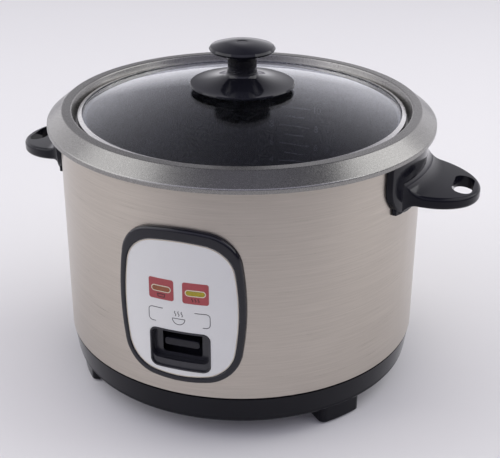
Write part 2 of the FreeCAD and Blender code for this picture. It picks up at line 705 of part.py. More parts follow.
# Microswitch above the lever, and its button
SWITCH_REACH = "(pivot_reach - 18)"
ARM_TOP = f"(pivot_height + {HALF_STRIP})"
switch_box = block("switch_box", ("-5", f"-{SWITCH_REACH} - 7", f"{ARM_TOP} + 3"),
                   ("5", f"7 - {SWITCH_REACH}", LINER_FOOT))
switch_bore = post("switch_bore", "pin_radius + 0.3", f"{ARM_TOP} + 2", f"{ARM_TOP} + 9.5",
                   SWITCH_REACH, "-90")
switch_tabs = [block(f"switch_tab_{n}", (low, f"-{SWITCH_REACH} - 3", f"{ARM_TOP} + 7"),
                     (high, f"3 - {SWITCH_REACH}", f"{ARM_TOP} + 7.8"))
               for n, (low, high) in enumerate((("4", "11"), ("-11", "-4")))]
microswitch = cut("microswitch", fused("switch_blank", switch_box, *switch_tabs), switch_bore)
switch_button = post("switch_button", "pin_radius", f"{ARM_TOP} + slide_gap", f"{ARM_TOP} + 7",
                     SWITCH_REACH, "-90")

# Keep-warm thermostat and thermal fuse under the liner
thermostat_can = post("thermostat_can", "8", f"{LINER_FOOT} - 6", LINER_FOOT, "48", "40")
thermostat_base = post("thermostat_base", "6.5", f"{LINER_FOOT} - 10", f"{LINER_FOOT} - 5", "48", "40")
warm_thermostat = fused("warm_thermostat", thermostat_can, thermostat_base)
fuse_tube = rod("fuse_tube", "2.6", "24", ("-42", "40", f"{LINER_FOOT} - 2.8"))
fuse_clip = block("fuse_clip", ("-33", "36.5", f"{LINER_FOOT} - 6"), ("-27", "43.5", LINER_FOOT))
fuse_hole = rod("fuse_hole", "2.7", "10", ("-35", "40", f"{LINER_FOOT} - 2.8"))
fuse_holder = cut("fuse_holder", fuse_clip, fuse_hole)
fuse_tube.Label = "thermal_fuse"

# Panel, curved like the wall: bezel, plate, switch frame, lenses, lamp holder and bulbs
CURVE_TOP = f"({WALL_TOP} + 10)"
bezel_block = padded("bezel_block", "XZ_Plane", "0.8 * wall_radius", "0.4 * wall_radius",
                     bowed("panel_width / 2", "panel_height / 2", "panel_centre"),
                     bowed("label_width / 2", "label_height / 2", "label_centre"))
wall_form = post("wall_form", "wall_radius + hole_gap", "0", CURVE_TOP)
bezel_form = post("bezel_form", PANEL_FRONT, "0", CURVE_TOP)
bezel_ring = cut("bezel_ring", shared("bezel_skin", bezel_block, bezel_form), wall_form)
front_curve = value(PANEL_FRONT)
label_half = value("label_width / 2 + 0.01")
label_low = value("label_centre - label_height / 2 - 0.01")
label_high = value("label_centre + label_height / 2 + 0.01")


def bezel_front(edge):
    return all(abs(math.hypot(p.x, p.y) - front_curve) < 0.02 for p in samples(edge))


def round_label(edge):
    return all(abs(p.x) < label_half and label_low < p.z < label_high for p in samples(edge))


bezel_soft = rounded("bezel_soft", bezel_ring, "bezel_round",
                     lambda edge: bezel_front(edge) and not round_label(edge))
panel_bezel = rounded("panel_bezel", bezel_soft, "1", lambda edge: bezel_front(edge) and round_label(edge))
LABEL_FRONT = f"({PANEL_FRONT} - plate_inset)"
LABEL_BACK = f"({PANEL_FRONT} - plate_inset - label_thickness)"
RIM_FRONT = f"({LABEL_FRONT} + 0.4)"
plate_sheet = padded("plate_sheet", "XZ_Plane", "0.8 * wall_radius", "0.4 * wall_radius",
                     bowed("label_width / 2 - hole_gap", "label_height / 2 - hole_gap", "label_centre"))
plate_form = post("plate_form", LABEL_FRONT, "0", CURVE_TOP)
plate_back = post("plate_back", LABEL_BACK, "0", CURVE_TOP)
rim_form = post("rim_form", RIM_FRONT, "0", CURVE_TOP)
FRAME_LOW = "(frame_centre - frame_height / 2)"
FRAME_HIGH = "(frame_centre + frame_height / 2)"
frame_hole = padded("frame_hole", "XZ_Plane", "wall_radius - 20", "40",
                    rectangle("frame_width / 2 + hole_gap", f"{FRAME_LOW} - hole_gap",
                              f"{FRAME_HIGH} + hole_gap", "frame_corner"))


def capsule(centre, grow="0"):
    half = f"(lens_height / 2 + {grow})"
    reach = "(lens_length / 2 - lens_height / 2)"
    left = f"({centre}) - {reach}"
    right = f"({centre}) + {reach}"
    return [
        (left, f"lens_centre - {half}"), (right, f"lens_centre - {half}", f"1.0001 * {half}", 1),
        (right, f"lens_centre + {half}"), (left, f"lens_centre + {half}", f"1.0001 * {half}", 1),
    ]


LENS_SPOTS = ("-lens_spread", "lens_spread")
lens_holes = [padded(f"lens_hole_{n}", "XZ_Plane", "wall_radius - 20", "40", capsule(spot, "0.1"))
              for n, spot in enumerate(LENS_SPOTS)]
plate_skin = shared("plate_skin", plate_sheet, plate_form)
panel_plate = cut("panel_plate", plate_skin, plate_back, frame_hole, *lens_holes)
lens_bars = [padded(f"lens_bar_{n}", "XZ_Plane", f"{PANEL_FRONT} - 4.6", "10", capsule(spot))
             for n, spot in enumerate(LENS_SPOTS)]
cook_lens = shared("cook_lens", lens_bars[0], rim_form)
warm_lens = shared("warm_lens", lens_bars[1], rim_form)
frame_block = padded("frame_block", "XZ_Plane", BACK_WALL, "20",
                     rectangle("frame_width / 2", FRAME_LOW, FRAME_HIGH, "frame_corner"))
frame_skin = shared("frame_skin", frame_block, rim_form)
frame_recess = padded("frame_recess", "XZ_Plane", f"{BACK_WALL} + frame_wall", "20",
                      rectangle("frame_width / 2 - frame_wall", f"{FRAME_LOW} + sill_height",
                                f"{FRAME_HIGH} - frame_wall", "frame_corner - frame_wall"))
sill_hollow = padded("sill_hollow", "XZ_Plane", "0.8 * wall_radius", "0.4 * wall_radius",
                     rectangle("frame_width / 2 - frame_wall", f"{FRAME_LOW} + frame_wall",
                               f"{FRAME_HIGH} - frame_wall", "frame_corner - frame_wall"))
sill_form = post("sill_form", f"{RIM_FRONT} - sill_inset", "0", CURVE_TOP)
frame_window = padded("frame_window", "XZ_Plane", f"{BACK_WALL} - 5", "20",
                      rectangle("window_width / 2", "bar_centre - window_height / 2",
                                "bar_centre + window_height / 2", "2"))
sill_cut = cut("sill_cut", sill_hollow, sill_form)
switch_frame = cut("switch_frame", frame_skin, frame_recess, sill_cut, frame_window)
HOLDER_FRONT = f"({LABEL_BACK} - hole_gap)"
holder_block = block("holder_block", ("-20", f"-{HOLDER_FRONT}", "lens_centre - 6.5"),
                     ("20", f"10.5 - {HOLDER_FRONT}", "lens_centre + 6.5"))
holder_form = post("holder_form", HOLDER_FRONT, "0", CURVE_TOP)
holder_cells = [block(f"holder_cell_{n}", (f"{spot} - 7.5", f"-{HOLDER_FRONT} - 1", "lens_centre - 4.5"),
                      (f"{spot} + 7.5", f"7 - {HOLDER_FRONT}", "lens_centre + 4.5"))
                for n, spot in enumerate(LENS_SPOTS)]
lamp_holder = cut("lamp_holder", shared("holder_skin", holder_block, holder_form), *holder_cells)
lamp_bulbs = group("lamp_bulbs", *[
    rod(f"bulb_{n}", "2.3", "11", (f"{spot} - 5.5", f"4.5 - {HOLDER_FRONT}", "lens_centre"))
    for n, spot in enumerate(LENS_SPOTS)])

# Handles: a collar that hugs the wall, flaring into a drooping ear with a long slot
def span(share, x0, y0, x1, y1):
    return f"({share} * sqrt((({x1}) - ({x0}))^2 + (({y1}) - ({y0}))^2))"


EAR_LENGTH = "(handle_reach - wall_radius)"
EAR_TAPER = 0.76042


# The ear's outline from the wall to its tip; its three arcs meet smoothly
def ear_arcs(hug):
    half = value("handle_root")
    length = value(EAR_LENGTH)
    tip = half - EAR_TAPER * (length - half)
    side = (length ** 2 - 2 * length * tip + half ** 2) / (2 * (half - tip))
    bend = value("root_bend")
    middle = FreeCAD.Vector(value("wall_radius"), side - half, 0)
    reach = middle.Length
    along = ((hug + bend) ** 2 - (side + bend) ** 2 + reach ** 2) / (2 * reach)
    across = math.sqrt((hug + bend) ** 2 - along ** 2)
    out = middle / reach
    heart = out * along + FreeCAD.Vector(out.y, -out.x, 0) * across
    root = heart * (hug / (hug + bend))
    flank = middle + (heart - middle) * (side / (side + bend))
    turn = (length - tip) / (side - tip)
    nose = FreeCAD.Vector(value("handle_reach") - tip + tip * turn, -tip * (side - half) / (side - tip), 0)
    return root, flank, nose, bend, side, tip


root, flank, nose, bend, side, tip = ear_arcs(value(COLLAR_OUT) - 1)
ear_plan = padded("ear_plan", "XY_Plane", f"{HANDLE_TOP} - 40", "80", [
    ("wall_radius - 20", root.y),
    (root.x, root.y, bend, -1),
    (flank.x, flank.y, side, 1),
    (nose.x, nose.y, tip, 1),
    (nose.x, -nose.y, side, 1),
    (flank.x, -flank.y, bend, -1),
    (root.x, -root.y),
    ("wall_radius - 20", -root.y),
])


def ear_height(reach):
    return f"({HANDLE_TOP} - handle_droop / {EAR_LENGTH} * (({reach}) - wall_radius))"


SKIN = f"({COLLAR_OUT} - 0.05)"
FLARE_X = f"({SKIN} + 0.861 * handle_flare)"
FLARE_TOP = f"({ear_height(SKIN)} + 0.869 * handle_flare)"
UNDER_X = f"({COLLAR_OUT} + 4.8)"
UNDER_Z = f"({ear_height(UNDER_X)} - handle_thickness)"
EAR_END = "(handle_reach + 4)"
EAR_FOOT = f"({COLLAR_FOOT} + 1.5)"
UNDER_IN = f"({COLLAR_OUT} - 0.3)"
EAR_SLOPE = f"(handle_droop / {EAR_LENGTH})"
under_run = f"({UNDER_X} - {UNDER_IN})"
under_rise = f"({UNDER_Z} - {EAR_FOOT})"
under_bend = (f"(({under_run}^2 + {under_rise}^2) * sqrt(1 + {EAR_SLOPE}^2)"
              f" / (2 * ({under_rise} + {EAR_SLOPE} * {under_run})))")
ear_turn = turned("ear_turn", [
    ("wall_radius - 5", EAR_FOOT),
    (UNDER_IN, EAR_FOOT, under_bend, -1),
    (UNDER_X, UNDER_Z),
    (EAR_END, f"{ear_height(EAR_END)} - handle_thickness"),
    (EAR_END, ear_height(EAR_END)),
    (FLARE_X, ear_height(FLARE_X), span(0.762, FLARE_X, ear_height(FLARE_X), SKIN, FLARE_TOP), -1),
    (SKIN, FLARE_TOP),
    (SKIN, f"{FLARE_TOP} + 4"),
    ("wall_radius - 5", f"{FLARE_TOP} + 4"),
])
ear_blank = shared("ear_blank", ear_plan, spun(ear_turn, "180"))
ear_inside = value("wall_radius + 0.5")


def ear_rim(edge):
    points = samples(edge)
    upright = math.hypot(points[0].x - points[-1].x, points[0].y - points[-1].y) < 0.1
    level = max(p.z for p in points) - min(p.z for p in points) < 0.01
    return not upright and not level and min(math.hypot(p.x, p.y) for p in points) > ear_inside


ear = rounded("ear", ear_blank, "handle_round", ear_rim)
collar_top = f"({BRIM_TOP} - brim_drop - 1.2)"
collar_face = padded("collar_face", "YZ_Plane", "0.7 * wall_radius", "0.7 * wall_radius", [
    ("collar_corner - collar_half_width", COLLAR_FOOT),
    ("collar_half_width - collar_corner", COLLAR_FOOT, "collar_corner", 1),
    ("collar_half_width", f"{COLLAR_FOOT} + collar_corner"),
    ("collar_half_width", f"{collar_top} - 3", "3", 1),
    ("collar_half_width - 3", collar_top),
    ("3 - collar_half_width", collar_top, "3", 1),
    ("-collar_half_width", f"{collar_top} - 3"),
    ("-collar_half_width", f"{COLLAR_FOOT} + collar_corner", "collar_corner", 1),
])
collar_form = post("collar_form", COLLAR_OUT, "0", CURVE_TOP)
collar_blank = shared("collar_blank", collar_face, collar_form)
collar_curve = value(COLLAR_OUT)
collar = rounded("collar", collar_blank, "1.2",
                 lambda edge: all(abs(math.hypot(p.x, p.y) - collar_curve) < 0.02 for p in samples(edge)))
SLOT_X = "(handle_reach - slot_inset)"
SLOT_HALF = "(slot_width / 2)"
SLOT_RUN = "(slot_length / 2 - slot_width / 2)"
handle_slot = padded("handle_slot", "XY_Plane", f"{HANDLE_TOP} - 40", "80", [
    (f"{SLOT_X} - {SLOT_HALF}", f"-{SLOT_RUN}", f"1.0001 * {SLOT_HALF}", 1),
    (f"{SLOT_X} + {SLOT_HALF}", f"-{SLOT_RUN}"),
    (f"{SLOT_X} + {SLOT_HALF}", SLOT_RUN, f"1.0001 * {SLOT_HALF}", 1),
    (f"{SLOT_X} - {SLOT_HALF}", SLOT_RUN),
])
handle_blank = cut("handle_blank", fused("handle_body", ear, collar), wall_form, handle_slot)
handles = []
for name, turn, holes in (("handle_right", 0.0, collar_holes[:2]), ("handle_left", 180.0, collar_holes[2:])):
    copy = doc.addObject("Part::Compound", name + "_form")
    copy.Links = [handle_blank]
    copy.Placement = FreeCAD.Placement(FreeCAD.Vector(), FreeCAD.Rotation(FreeCAD.Vector(0, 0, 1), turn))
    handles.append(cut(name, copy, *holes))
handle_right, handle_left = handles

# Inlet at the back: a socket with a flange that hugs the wall, and its pins
inlet_half = "(inlet_height / 2)"
INLET_LOW = f"(inlet_centre - {inlet_half})"
INLET_HIGH = f"(inlet_centre + {inlet_half})"
socket_core = padded("socket_core", "XZ_Plane", "-wall_radius - 1", "inlet_depth + inlet_wall + 1 - hole_gap",
                     rectangle("inlet_width / 2", INLET_LOW, INLET_HIGH, "2"))
flange_face = padded("flange_face", "XZ_Plane", "-1.5 * wall_radius", "wall_radius",
                     rectangle("inlet_width / 2 + 3.5", f"inlet_centre - {inlet_half} - 3",
                               f"inlet_centre + {inlet_half} + 3", "3"))
flange_form = post("flange_form", "wall_radius + 2.2", "0", WALL_TOP)
inlet_flange = cut("inlet_flange", shared("flange_skin", flange_face, flange_form), wall_form)
socket_cavity = padded("socket_cavity", "XZ_Plane", "-wall_radius - 10", "inlet_depth + 10",
                       rectangle("inlet_width / 2 - inlet_wall", f"inlet_centre - {inlet_half} + inlet_wall",
                                 f"inlet_centre + {inlet_half} - inlet_wall", "1.5"))
PIN_SPOTS = (("-7", "inlet_centre - 2"), ("7", "inlet_centre - 2"), ("0", "inlet_centre + 3"))
pin_holes = [block(f"pin_hole_{n}", (f"{x} - 1.1", "wall_radius - 25", f"{z} - 2.1"),
                   (f"{x} + 1.1", "wall_radius", f"{z} + 2.1")) for n, (x, z) in enumerate(PIN_SPOTS)]
socket_blank = fused("socket_blank", socket_core, inlet_flange)
inlet_socket = cut("inlet_socket", socket_blank, socket_cavity, *pin_holes)
inlet_pins = group("inlet_pins", *[
    block(f"inlet_pin_{n}", (f"{x} - 1", "wall_radius - inlet_depth - 6", f"{z} - 2"),
          (f"{x} + 1", "wall_radius - 3", f"{z} + 2")) for n, (x, z) in enumerate(PIN_SPOTS)])

# Inner pot with its wide brim
LIP_FOOT = f"({BRIM_TOP} - brim_drop)"
LIP_TOP = f"({LIP_FOOT} + brim_lip)"
pot_sheet = turned("pot_sheet", [
    ("0", POT_FOOT),
    (f"{POT_OUT} - pot_corner", POT_FOOT, "pot_corner", 1),
    (POT_OUT, f"{POT_FOOT} + pot_corner"),
    (POT_OUT, f"{SEAT} - pot_gauge"),
    (f"{SEAT_OUT} + 0.74 * pot_gauge", f"{SEAT} - pot_gauge"),
    (f"{CREST_IN} + 0.74 * pot_gauge", f"{BRIM_TOP} - pot_gauge"),
    (f"{CREST_OUT} - 0.4 * pot_gauge", f"{BRIM_TOP} - pot_gauge"),
    (f"{BRIM_RADIUS} - pot_gauge", f"{LIP_TOP} - 0.5 * pot_gauge"),
    (f"{BRIM_RADIUS} - pot_gauge", LIP_FOOT),
    (BRIM_RADIUS, LIP_FOOT),
    (BRIM_RADIUS, LIP_TOP),
    (CREST_OUT, BRIM_TOP),
    (CREST_IN, BRIM_TOP),
    (SEAT_OUT, SEAT),
    (POT_IN, SEAT),
    (POT_IN, f"{POT_FOOT} + pot_corner", "pot_corner - pot_gauge", -1),
    (f"{POT_OUT} - pot_corner", f"{POT_FOOT} + pot_gauge"),
    ("0", f"{POT_FOOT} + pot_gauge"),
])
pot_soft = rounded("pot_soft", pot_sheet, "1.2",
                   rings((BRIM_RADIUS, LIP_TOP), (CREST_OUT, BRIM_TOP), (CREST_IN, BRIM_TOP)))
inner_pot = rounded("inner_pot", pot_soft, "0.5", rings((POT_IN, SEAT), (BRIM_RADIUS, LIP_FOOT)))

# Lid: domed glass, steel band, knob in two parts, screw, washer and gasket
glass_dome = turned("glass_dome", [
    ("0", GLASS_UNDER),
    ("0", GLASS_TOP, DOME_RADIUS, -1),
    (GLASS_RADIUS, f"{GLASS_EDGE} + glass_thickness - 0.3"),
    (GLASS_RADIUS, f"{GLASS_EDGE}", f"{DOME_RADIUS} + 4", 1),
])
glass_hole = post("glass_hole", "screw_radius + 2", f"{GLASS_UNDER} - 5", f"{GLASS_TOP} + 5")
lid_glass = cut("lid_glass", glass_dome, glass_hole)
LAP = "(band_lap * 0.36)"
lid_band = turned("lid_band", [
    (f"{BAND_RADIUS} - 4", BAND_FOOT),
    (BAND_RADIUS, BAND_FOOT),
    (BAND_RADIUS, BAND_TOP),
    (f"{BAND_RADIUS} - band_lap", f"{BAND_TOP} + {LAP}"),
    (f"{BAND_RADIUS} - band_lap", f"{BAND_TOP} + {LAP} - band_gauge"),
    (f"{BAND_RADIUS} - band_gauge", f"{BAND_TOP} - 0.3"),
    (f"{BAND_RADIUS} - band_gauge", f"{BAND_FOOT} + band_gauge"),
    (f"{BAND_RADIUS} - 4", f"{BAND_FOOT} + band_gauge"),
])
KNOB_BORE = "(screw_radius + 0.2)"
HUB_FOOT = f"({GLASS_TOP} + hole_gap)"
RIM_FOOT = f"({GLASS_TOP} + knob_flange_lift)"
RIM_TOP = f"({RIM_FOOT} + knob_flange_rim)"
DISH_X = "(knob_neck_radius + 0.3 + 2.63)"
DISH_Z = f"({KNOB_SEAM} - 0.2 - 3.76)"
RIM_IN = "(knob_flange_radius - 0.7)"
dish_bend = f"(3.09 * sqrt(({RIM_IN} - {DISH_X})^2 + ({RIM_TOP} - {DISH_Z})^2))"
knob_flange = turned("knob_flange", [
    (KNOB_BORE, HUB_FOOT),
    ("13", HUB_FOOT),
    (RIM_IN, RIM_FOOT),
    ("knob_flange_radius", f"{RIM_FOOT} + 0.5"),
    ("knob_flange_radius", f"{RIM_TOP} - 0.6"),
    (RIM_IN, RIM_TOP, dish_bend, -1),
    (DISH_X, DISH_Z, "4", -1),
    ("knob_neck_radius + 0.3", f"{KNOB_SEAM} - 0.2"),
    ("knob_neck_radius + 0.3", KNOB_SEAM),
    (KNOB_BORE, KNOB_SEAM),
])
NECK_TOP = f"({KNOB_SEAM} + knob_neck_height)"
knob_cap = turned("knob_cap", [
    (KNOB_BORE, KNOB_SEAM),
    ("knob_neck_radius", KNOB_SEAM),
    ("knob_neck_radius", NECK_TOP, "0.7 * (knob_cap_radius - knob_neck_radius)", -1),
    ("knob_cap_radius - 2.5", f"{CAP_RIM} - 2"),
    ("knob_cap_radius - 0.7", f"{CAP_RIM} - 1.3"),
    ("knob_cap_radius", CAP_RIM),
    ("knob_cap_radius - 1", f"{CAP_RIM} + 1.4", "2.2 * knob_cap_radius", 1),
    ("knob_dimple", KNOB_TOP),
    ("knob_dimple - 0.4", f"{KNOB_TOP} - 0.3"),
    ("0", f"{KNOB_TOP} - 0.3"),
    ("0", f"{KNOB_SEAM} + 10"),
    (KNOB_BORE, f"{KNOB_SEAM} + 10"),
])
GASKET_TOP = f"({GLASS_UNDER} - 0.1)"
knob_gasket = turned("knob_gasket", [
    (KNOB_BORE, f"{GASKET_TOP} - 1"),
    ("12", f"{GASKET_TOP} - 1"),
    ("12", f"{GASKET_TOP} - 0.2"),
    (KNOB_BORE, GASKET_TOP),
])
knob_washer = turned("knob_washer", [
    (KNOB_BORE, f"{GASKET_TOP} - 2"),
    ("9", f"{GASKET_TOP} - 2"),
    ("9", f"{GASKET_TOP} - 1"),
    (KNOB_BORE, f"{GASKET_TOP} - 1"),
])
knob_screw = turned("knob_screw", [
    ("0", f"{GASKET_TOP} - 3.2"),
    ("1.6", f"{GASKET_TOP} - 3.2"),
    ("1.6", f"{GASKET_TOP} - 4.4"),
    ("screw_head", f"{GASKET_TOP} - 4.4"),
    ("screw_head", f"{GASKET_TOP} - 2"),
    ("screw_radius", f"{GASKET_TOP} - 2"),
    ("screw_radius", f"{KNOB_SEAM} + 9.5"),
    ("0", f"{KNOB_SEAM} + 9.5"),
])

doc.recompute()

NODES = [
    base_tray, foot_pads, base_posts, base_screws, outer_shell, inner_liner, heating_plate, heating_element,
    plate_screws, sensor_housing, sensor_cap, sensor_spring, magnet, magnet_rod, lever_arm, lever_knob,
    lever_bracket, lever_pin, microswitch, switch_button, warm_thermostat, fuse_tube, fuse_holder,
    panel_bezel, panel_plate, cook_lens, warm_lens, switch_frame, lamp_holder, lamp_bulbs, handle_right,
    handle_left, handle_screws, inlet_socket, inlet_pins, inner_pot, lid_glass, lid_band, knob_flange,
    knob_cap, knob_gasket, knob_washer, knob_screw,
]

for item in doc.Objects:
    faults = [word for word in item.State if word in ("Invalid", "Error")]
    if faults:
        raise RuntimeError(f"{item.Label} is {faults}")
for item in NODES:
    if item.Shape.isNull() or not item.Shape.isValid():
        raise RuntimeError(f"{item.Label} has no valid shape")

os.makedirs("parts", exist_ok=True)
for item in NODES:
    item.Shape.exportStep(f"parts/{item.Label}.step")
    box = item.Shape.BoundBox
    print(f"{item.Label}: {len(item.Shape.Solids)} solids, {item.Shape.Volume:.0f} mm3, "
          f"x {box.XMin:.1f} {box.XMax:.1f}, y {box.YMin:.1f} {box.YMax:.1f}, "
          f"z {box.ZMin:.1f} {box.ZMax:.1f}")
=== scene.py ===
"""Looks of a drum rice cooker with a glass lid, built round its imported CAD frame."""
import json
import math

import bmesh
import bpy
from mathutils import Matrix, Vector


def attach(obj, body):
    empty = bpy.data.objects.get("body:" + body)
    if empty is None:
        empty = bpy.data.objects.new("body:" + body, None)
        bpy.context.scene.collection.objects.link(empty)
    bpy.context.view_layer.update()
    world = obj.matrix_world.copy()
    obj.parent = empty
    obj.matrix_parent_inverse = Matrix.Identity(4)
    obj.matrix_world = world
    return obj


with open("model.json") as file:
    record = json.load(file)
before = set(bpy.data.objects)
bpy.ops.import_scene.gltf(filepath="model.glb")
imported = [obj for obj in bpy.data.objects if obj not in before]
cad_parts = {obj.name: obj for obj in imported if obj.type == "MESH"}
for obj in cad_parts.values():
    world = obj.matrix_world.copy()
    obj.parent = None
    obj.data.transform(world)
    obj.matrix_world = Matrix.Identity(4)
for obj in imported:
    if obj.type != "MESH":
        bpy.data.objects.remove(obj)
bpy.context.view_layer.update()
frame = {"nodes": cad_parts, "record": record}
nodes = frame["nodes"]

MM = 0.001
UP = Vector((0.0, 0.0, 1.0))

# Sizes of the cooker that the added pieces sit on, in metres
PLATE_RADIUS = 127.6 * MM
PLATE_HALF = (38.0 * MM, 48.2 * MM)
PLATE_MIDDLE = 98.4 * MM
LAMP_HEIGHT = 112.0 * MM
LAMP_OFFSET = 11.4 * MM
LENS_SIZE = (12.2 * MM, 3.2 * MM)
POT_WALL = 106.0 * MM

# The plate's bowed outline: where its sides and ends stop, and the radius of their bows, as shares of its
# half sizes, and the chord of a corner's arc over its radius
SIDE_STOP = 0.56
END_STOP = 0.476
SIDE_BOW = 4.8
END_BOW = 2.9
CORNER_CHORD = 1.175

# The photograph's viewing angle
CAMERA_TURN = math.radians(18.1)
CAMERA_ASIDE = 0.0001
CAMERA_REACH = 0.70767
CAMERA_HEIGHT = 0.43565
CAMERA_YAW = 0.008155
CAMERA_PITCH = 0.446356
CAMERA_ROLL = 0.005435
CAMERA_LENS = 77.715
SENSOR_WIDTH = 36.0

# The front of the room, where the photograph was taken from, and its right
ROOM_FRONT = Vector((math.sin(CAMERA_TURN), -math.cos(CAMERA_TURN), 0.0))
ROOM_RIGHT = Vector((math.cos(CAMERA_TURN), math.sin(CAMERA_TURN), 0.0))

# Finishes: small tools for node trees


def put(tree, kind, inputs=None, **settings):
    """Adds one node with its settings, and links or sets its inputs."""
    made = tree.nodes.new(kind)
    for key, setting in settings.items():
        setattr(made, key, setting)
    for key, source in (inputs or {}).items():
        if isinstance(source, bpy.types.NodeSocket):
            tree.links.new(source, made.inputs[key])
        else:
            made.inputs[key].default_value = source
    return made


def new_finish(name, **sockets):
    """A material with one Principled shader and the sockets that are the same all over."""
    material = bpy.data.materials.new(name)
    material.use_nodes = True
    tree = material.node_tree
    shader = tree.nodes["Principled BSDF"]
    for key, setting in sockets.items():
        shader.inputs[key.replace("_", " ")].default_value = setting
    return material, tree, shader


def place(tree):
    """Coordinates fixed to the piece, in metres."""
    return put(tree, "ShaderNodeTexCoord").outputs["Object"]


def reckon(tree, operation, first, second=0.0):
    """One arithmetic step on two numbers."""
    made = put(tree, "ShaderNodeMath", {0: first, 1: second}, operation=operation)
    return made.outputs[0]


def noise(tree, vector, scale, detail=2.0, roughness=0.5):
    """Soft random values from 0 to 1."""
    made = put(tree, "ShaderNodeTexNoise", {
        "Vector": vector, "Scale": scale, "Detail": detail, "Roughness": roughness})
    return made.outputs[0]


def spread(tree, value, low, high, start=0.3, stop=0.7):
    """Maps a value between start and stop to the range from low to high."""
    made = put(tree, "ShaderNodeMapRange", {
        "Value": value, "From Min": start, "From Max": stop, "To Min": low, "To Max": high})
    return made.outputs["Result"]


def mix_colours(tree, factor, first, second):
    """Mixes two colours by a factor from 0 to 1."""
    made = tree.nodes.new("ShaderNodeMix")
    made.data_type = "RGBA"
    colour_sockets = [socket for socket in made.inputs if socket.type == "RGBA"]
    for socket, source in zip([made.inputs[0], *colour_sockets], [factor, first, second]):
        if isinstance(source, bpy.types.NodeSocket):
            tree.links.new(source, socket)
        else:
            socket.default_value = source
    return next(socket for socket in made.outputs if socket.type == "RGBA")


def relief(tree, shader, height, depth, strength=1.0):
    """Bumps the surface by a height from 0 to 1 over a depth in metres."""
    made = put(tree, "ShaderNodeBump", {
        "Height": height, "Distance": depth, "Strength": strength})
    tree.links.new(made.outputs["Normal"], shader.inputs["Normal"])


def feed(tree, source, shader, socket):
    """Links a value or a colour to one of the shader's sockets."""
    tree.links.new(source, shader.inputs[socket])


def blend(tree, *shares):
    """Adds up values that each come with their share of the whole."""
    scaled = [reckon(tree, "MULTIPLY", value, share) for value, share in shares]
    total = scaled[0]
    for value in scaled[1:]:
        total = reckon(tree, "ADD", total, value)
    return total


def round_drum(tree):
    """Angle round the drum from its front, height, and distance from its axis."""
    parts = put(tree, "ShaderNodeSeparateXYZ", {0: place(tree)}).outputs
    front = reckon(tree, "MULTIPLY", parts["Y"], -1.0)
    angle = reckon(tree, "ARCTAN2", parts["X"], front)
    reach = reckon(tree, "SQRT", reckon(
        tree, "ADD", reckon(tree, "POWER", parts["X"], 2.0), reckon(tree, "POWER", parts["Y"], 2.0)))
    return angle, parts["Z"], reach


def drum_vector(tree, along, up, out=0.0):
    """A vector for patterns that run round the drum, scaled along it, up it and out of it."""
    angle, height, reach = round_drum(tree)
    made = put(tree, "ShaderNodeCombineXYZ", {
        0: reckon(tree, "MULTIPLY", angle, along),
        1: reckon(tree, "MULTIPLY", height, up),
        2: reckon(tree, "MULTIPLY", reach, out)})
    return made.outputs[0]


# Finishes of the cooker


def brushed_steel():
    """Stainless drum wall with fine brushing round it."""
    material, tree, shader = new_finish(
        "brushed_steel", Metallic=1.0, Anisotropic=0.8, Anisotropic_Rotation=0.25)
    hair = noise(tree, drum_vector(tree, 5.0, 4200.0), 1.0, 3.0, 0.6)
    streak = noise(tree, drum_vector(tree, 2.2, 950.0), 1.0, 4.0, 0.66)
    band = noise(tree, drum_vector(tree, 0.7, 110.0), 1.0, 2.0, 0.5)
    fine = blend(tree, (hair, 0.42), (streak, 0.46), (band, 0.12))
    tint = mix_colours(
        tree, spread(tree, fine, 0.0, 1.0), (0.42, 0.381, 0.338, 1), (0.58, 0.530, 0.474, 1))
    feed(tree, tint, shader, "Base Color")
    feed(tree, spread(tree, fine, 0.25, 0.37), shader, "Roughness")
    tangent = put(tree, "ShaderNodeTangent", direction_type="RADIAL", axis="Z")
    feed(tree, tangent.outputs[0], shader, "Tangent")
    relief(tree, shader, fine, 0.00002, 0.35)
    return material


def speckled_coating(name, dark, light, fleck):
    """Grey non-stick paint full of fine metallic flecks."""
    material, tree, shader = new_finish(name, Metallic=0.95)
    grain = noise(tree, place(tree), 2000.0, 3.0, 0.7)
    flecks = noise(tree, place(tree), 2600.0, 2.0, 0.6)
    cloud = noise(tree, place(tree), 30.0, 2.0)
    ground = mix_colours(tree, spread(tree, grain, 0.0, 1.0, 0.25, 0.75), dark, light)
    spots = mix_colours(tree, spread(tree, flecks, 0.0, 1.0, 0.58, 0.70), ground, fleck)
    feed(tree, spots, shader, "Base Color")
    dullness = reckon(tree, "ADD", spread(tree, grain, 0.22, 0.32), spread(tree, cloud, -0.02, 0.02))
    feed(tree, dullness, shader, "Roughness")
    relief(tree, shader, grain, 0.00004, 0.4)
    return material


def moulded(name, colour, gloss, grain_depth=0.00002, grain=1400.0, specular=0.5, mottle=1.0):
    """Moulded plastic or rubber with a faint skin, soft colour drift and handling marks."""
    material, tree, shader = new_finish(name, Specular_IOR_Level=specular)
    skin = noise(tree, place(tree), grain, 3.0, 0.6)
    drift = noise(tree, place(tree), 38.0, 3.0, 0.6)
    rubbed = noise(tree, place(tree), 110.0, 4.0, 0.65)
    light = tuple(min(1.0, share * (1.0 + 0.22 * mottle) + 0.0015 * mottle) for share in colour)
    dark = tuple(share * (1.0 - 0.18 * mottle) for share in colour)
    shade = blend(tree, (drift, 0.6), (skin, 0.4))
    tone = mix_colours(tree, spread(tree, shade, 0.0, 1.0), (*dark, 1), (*light, 1))
    feed(tree, tone, shader, "Base Color")
    feed(tree, spread(tree, rubbed, gloss * 0.9, gloss * 1.12), shader, "Roughness")
    relief(tree, shader, skin, grain_depth, 0.6)
    return material


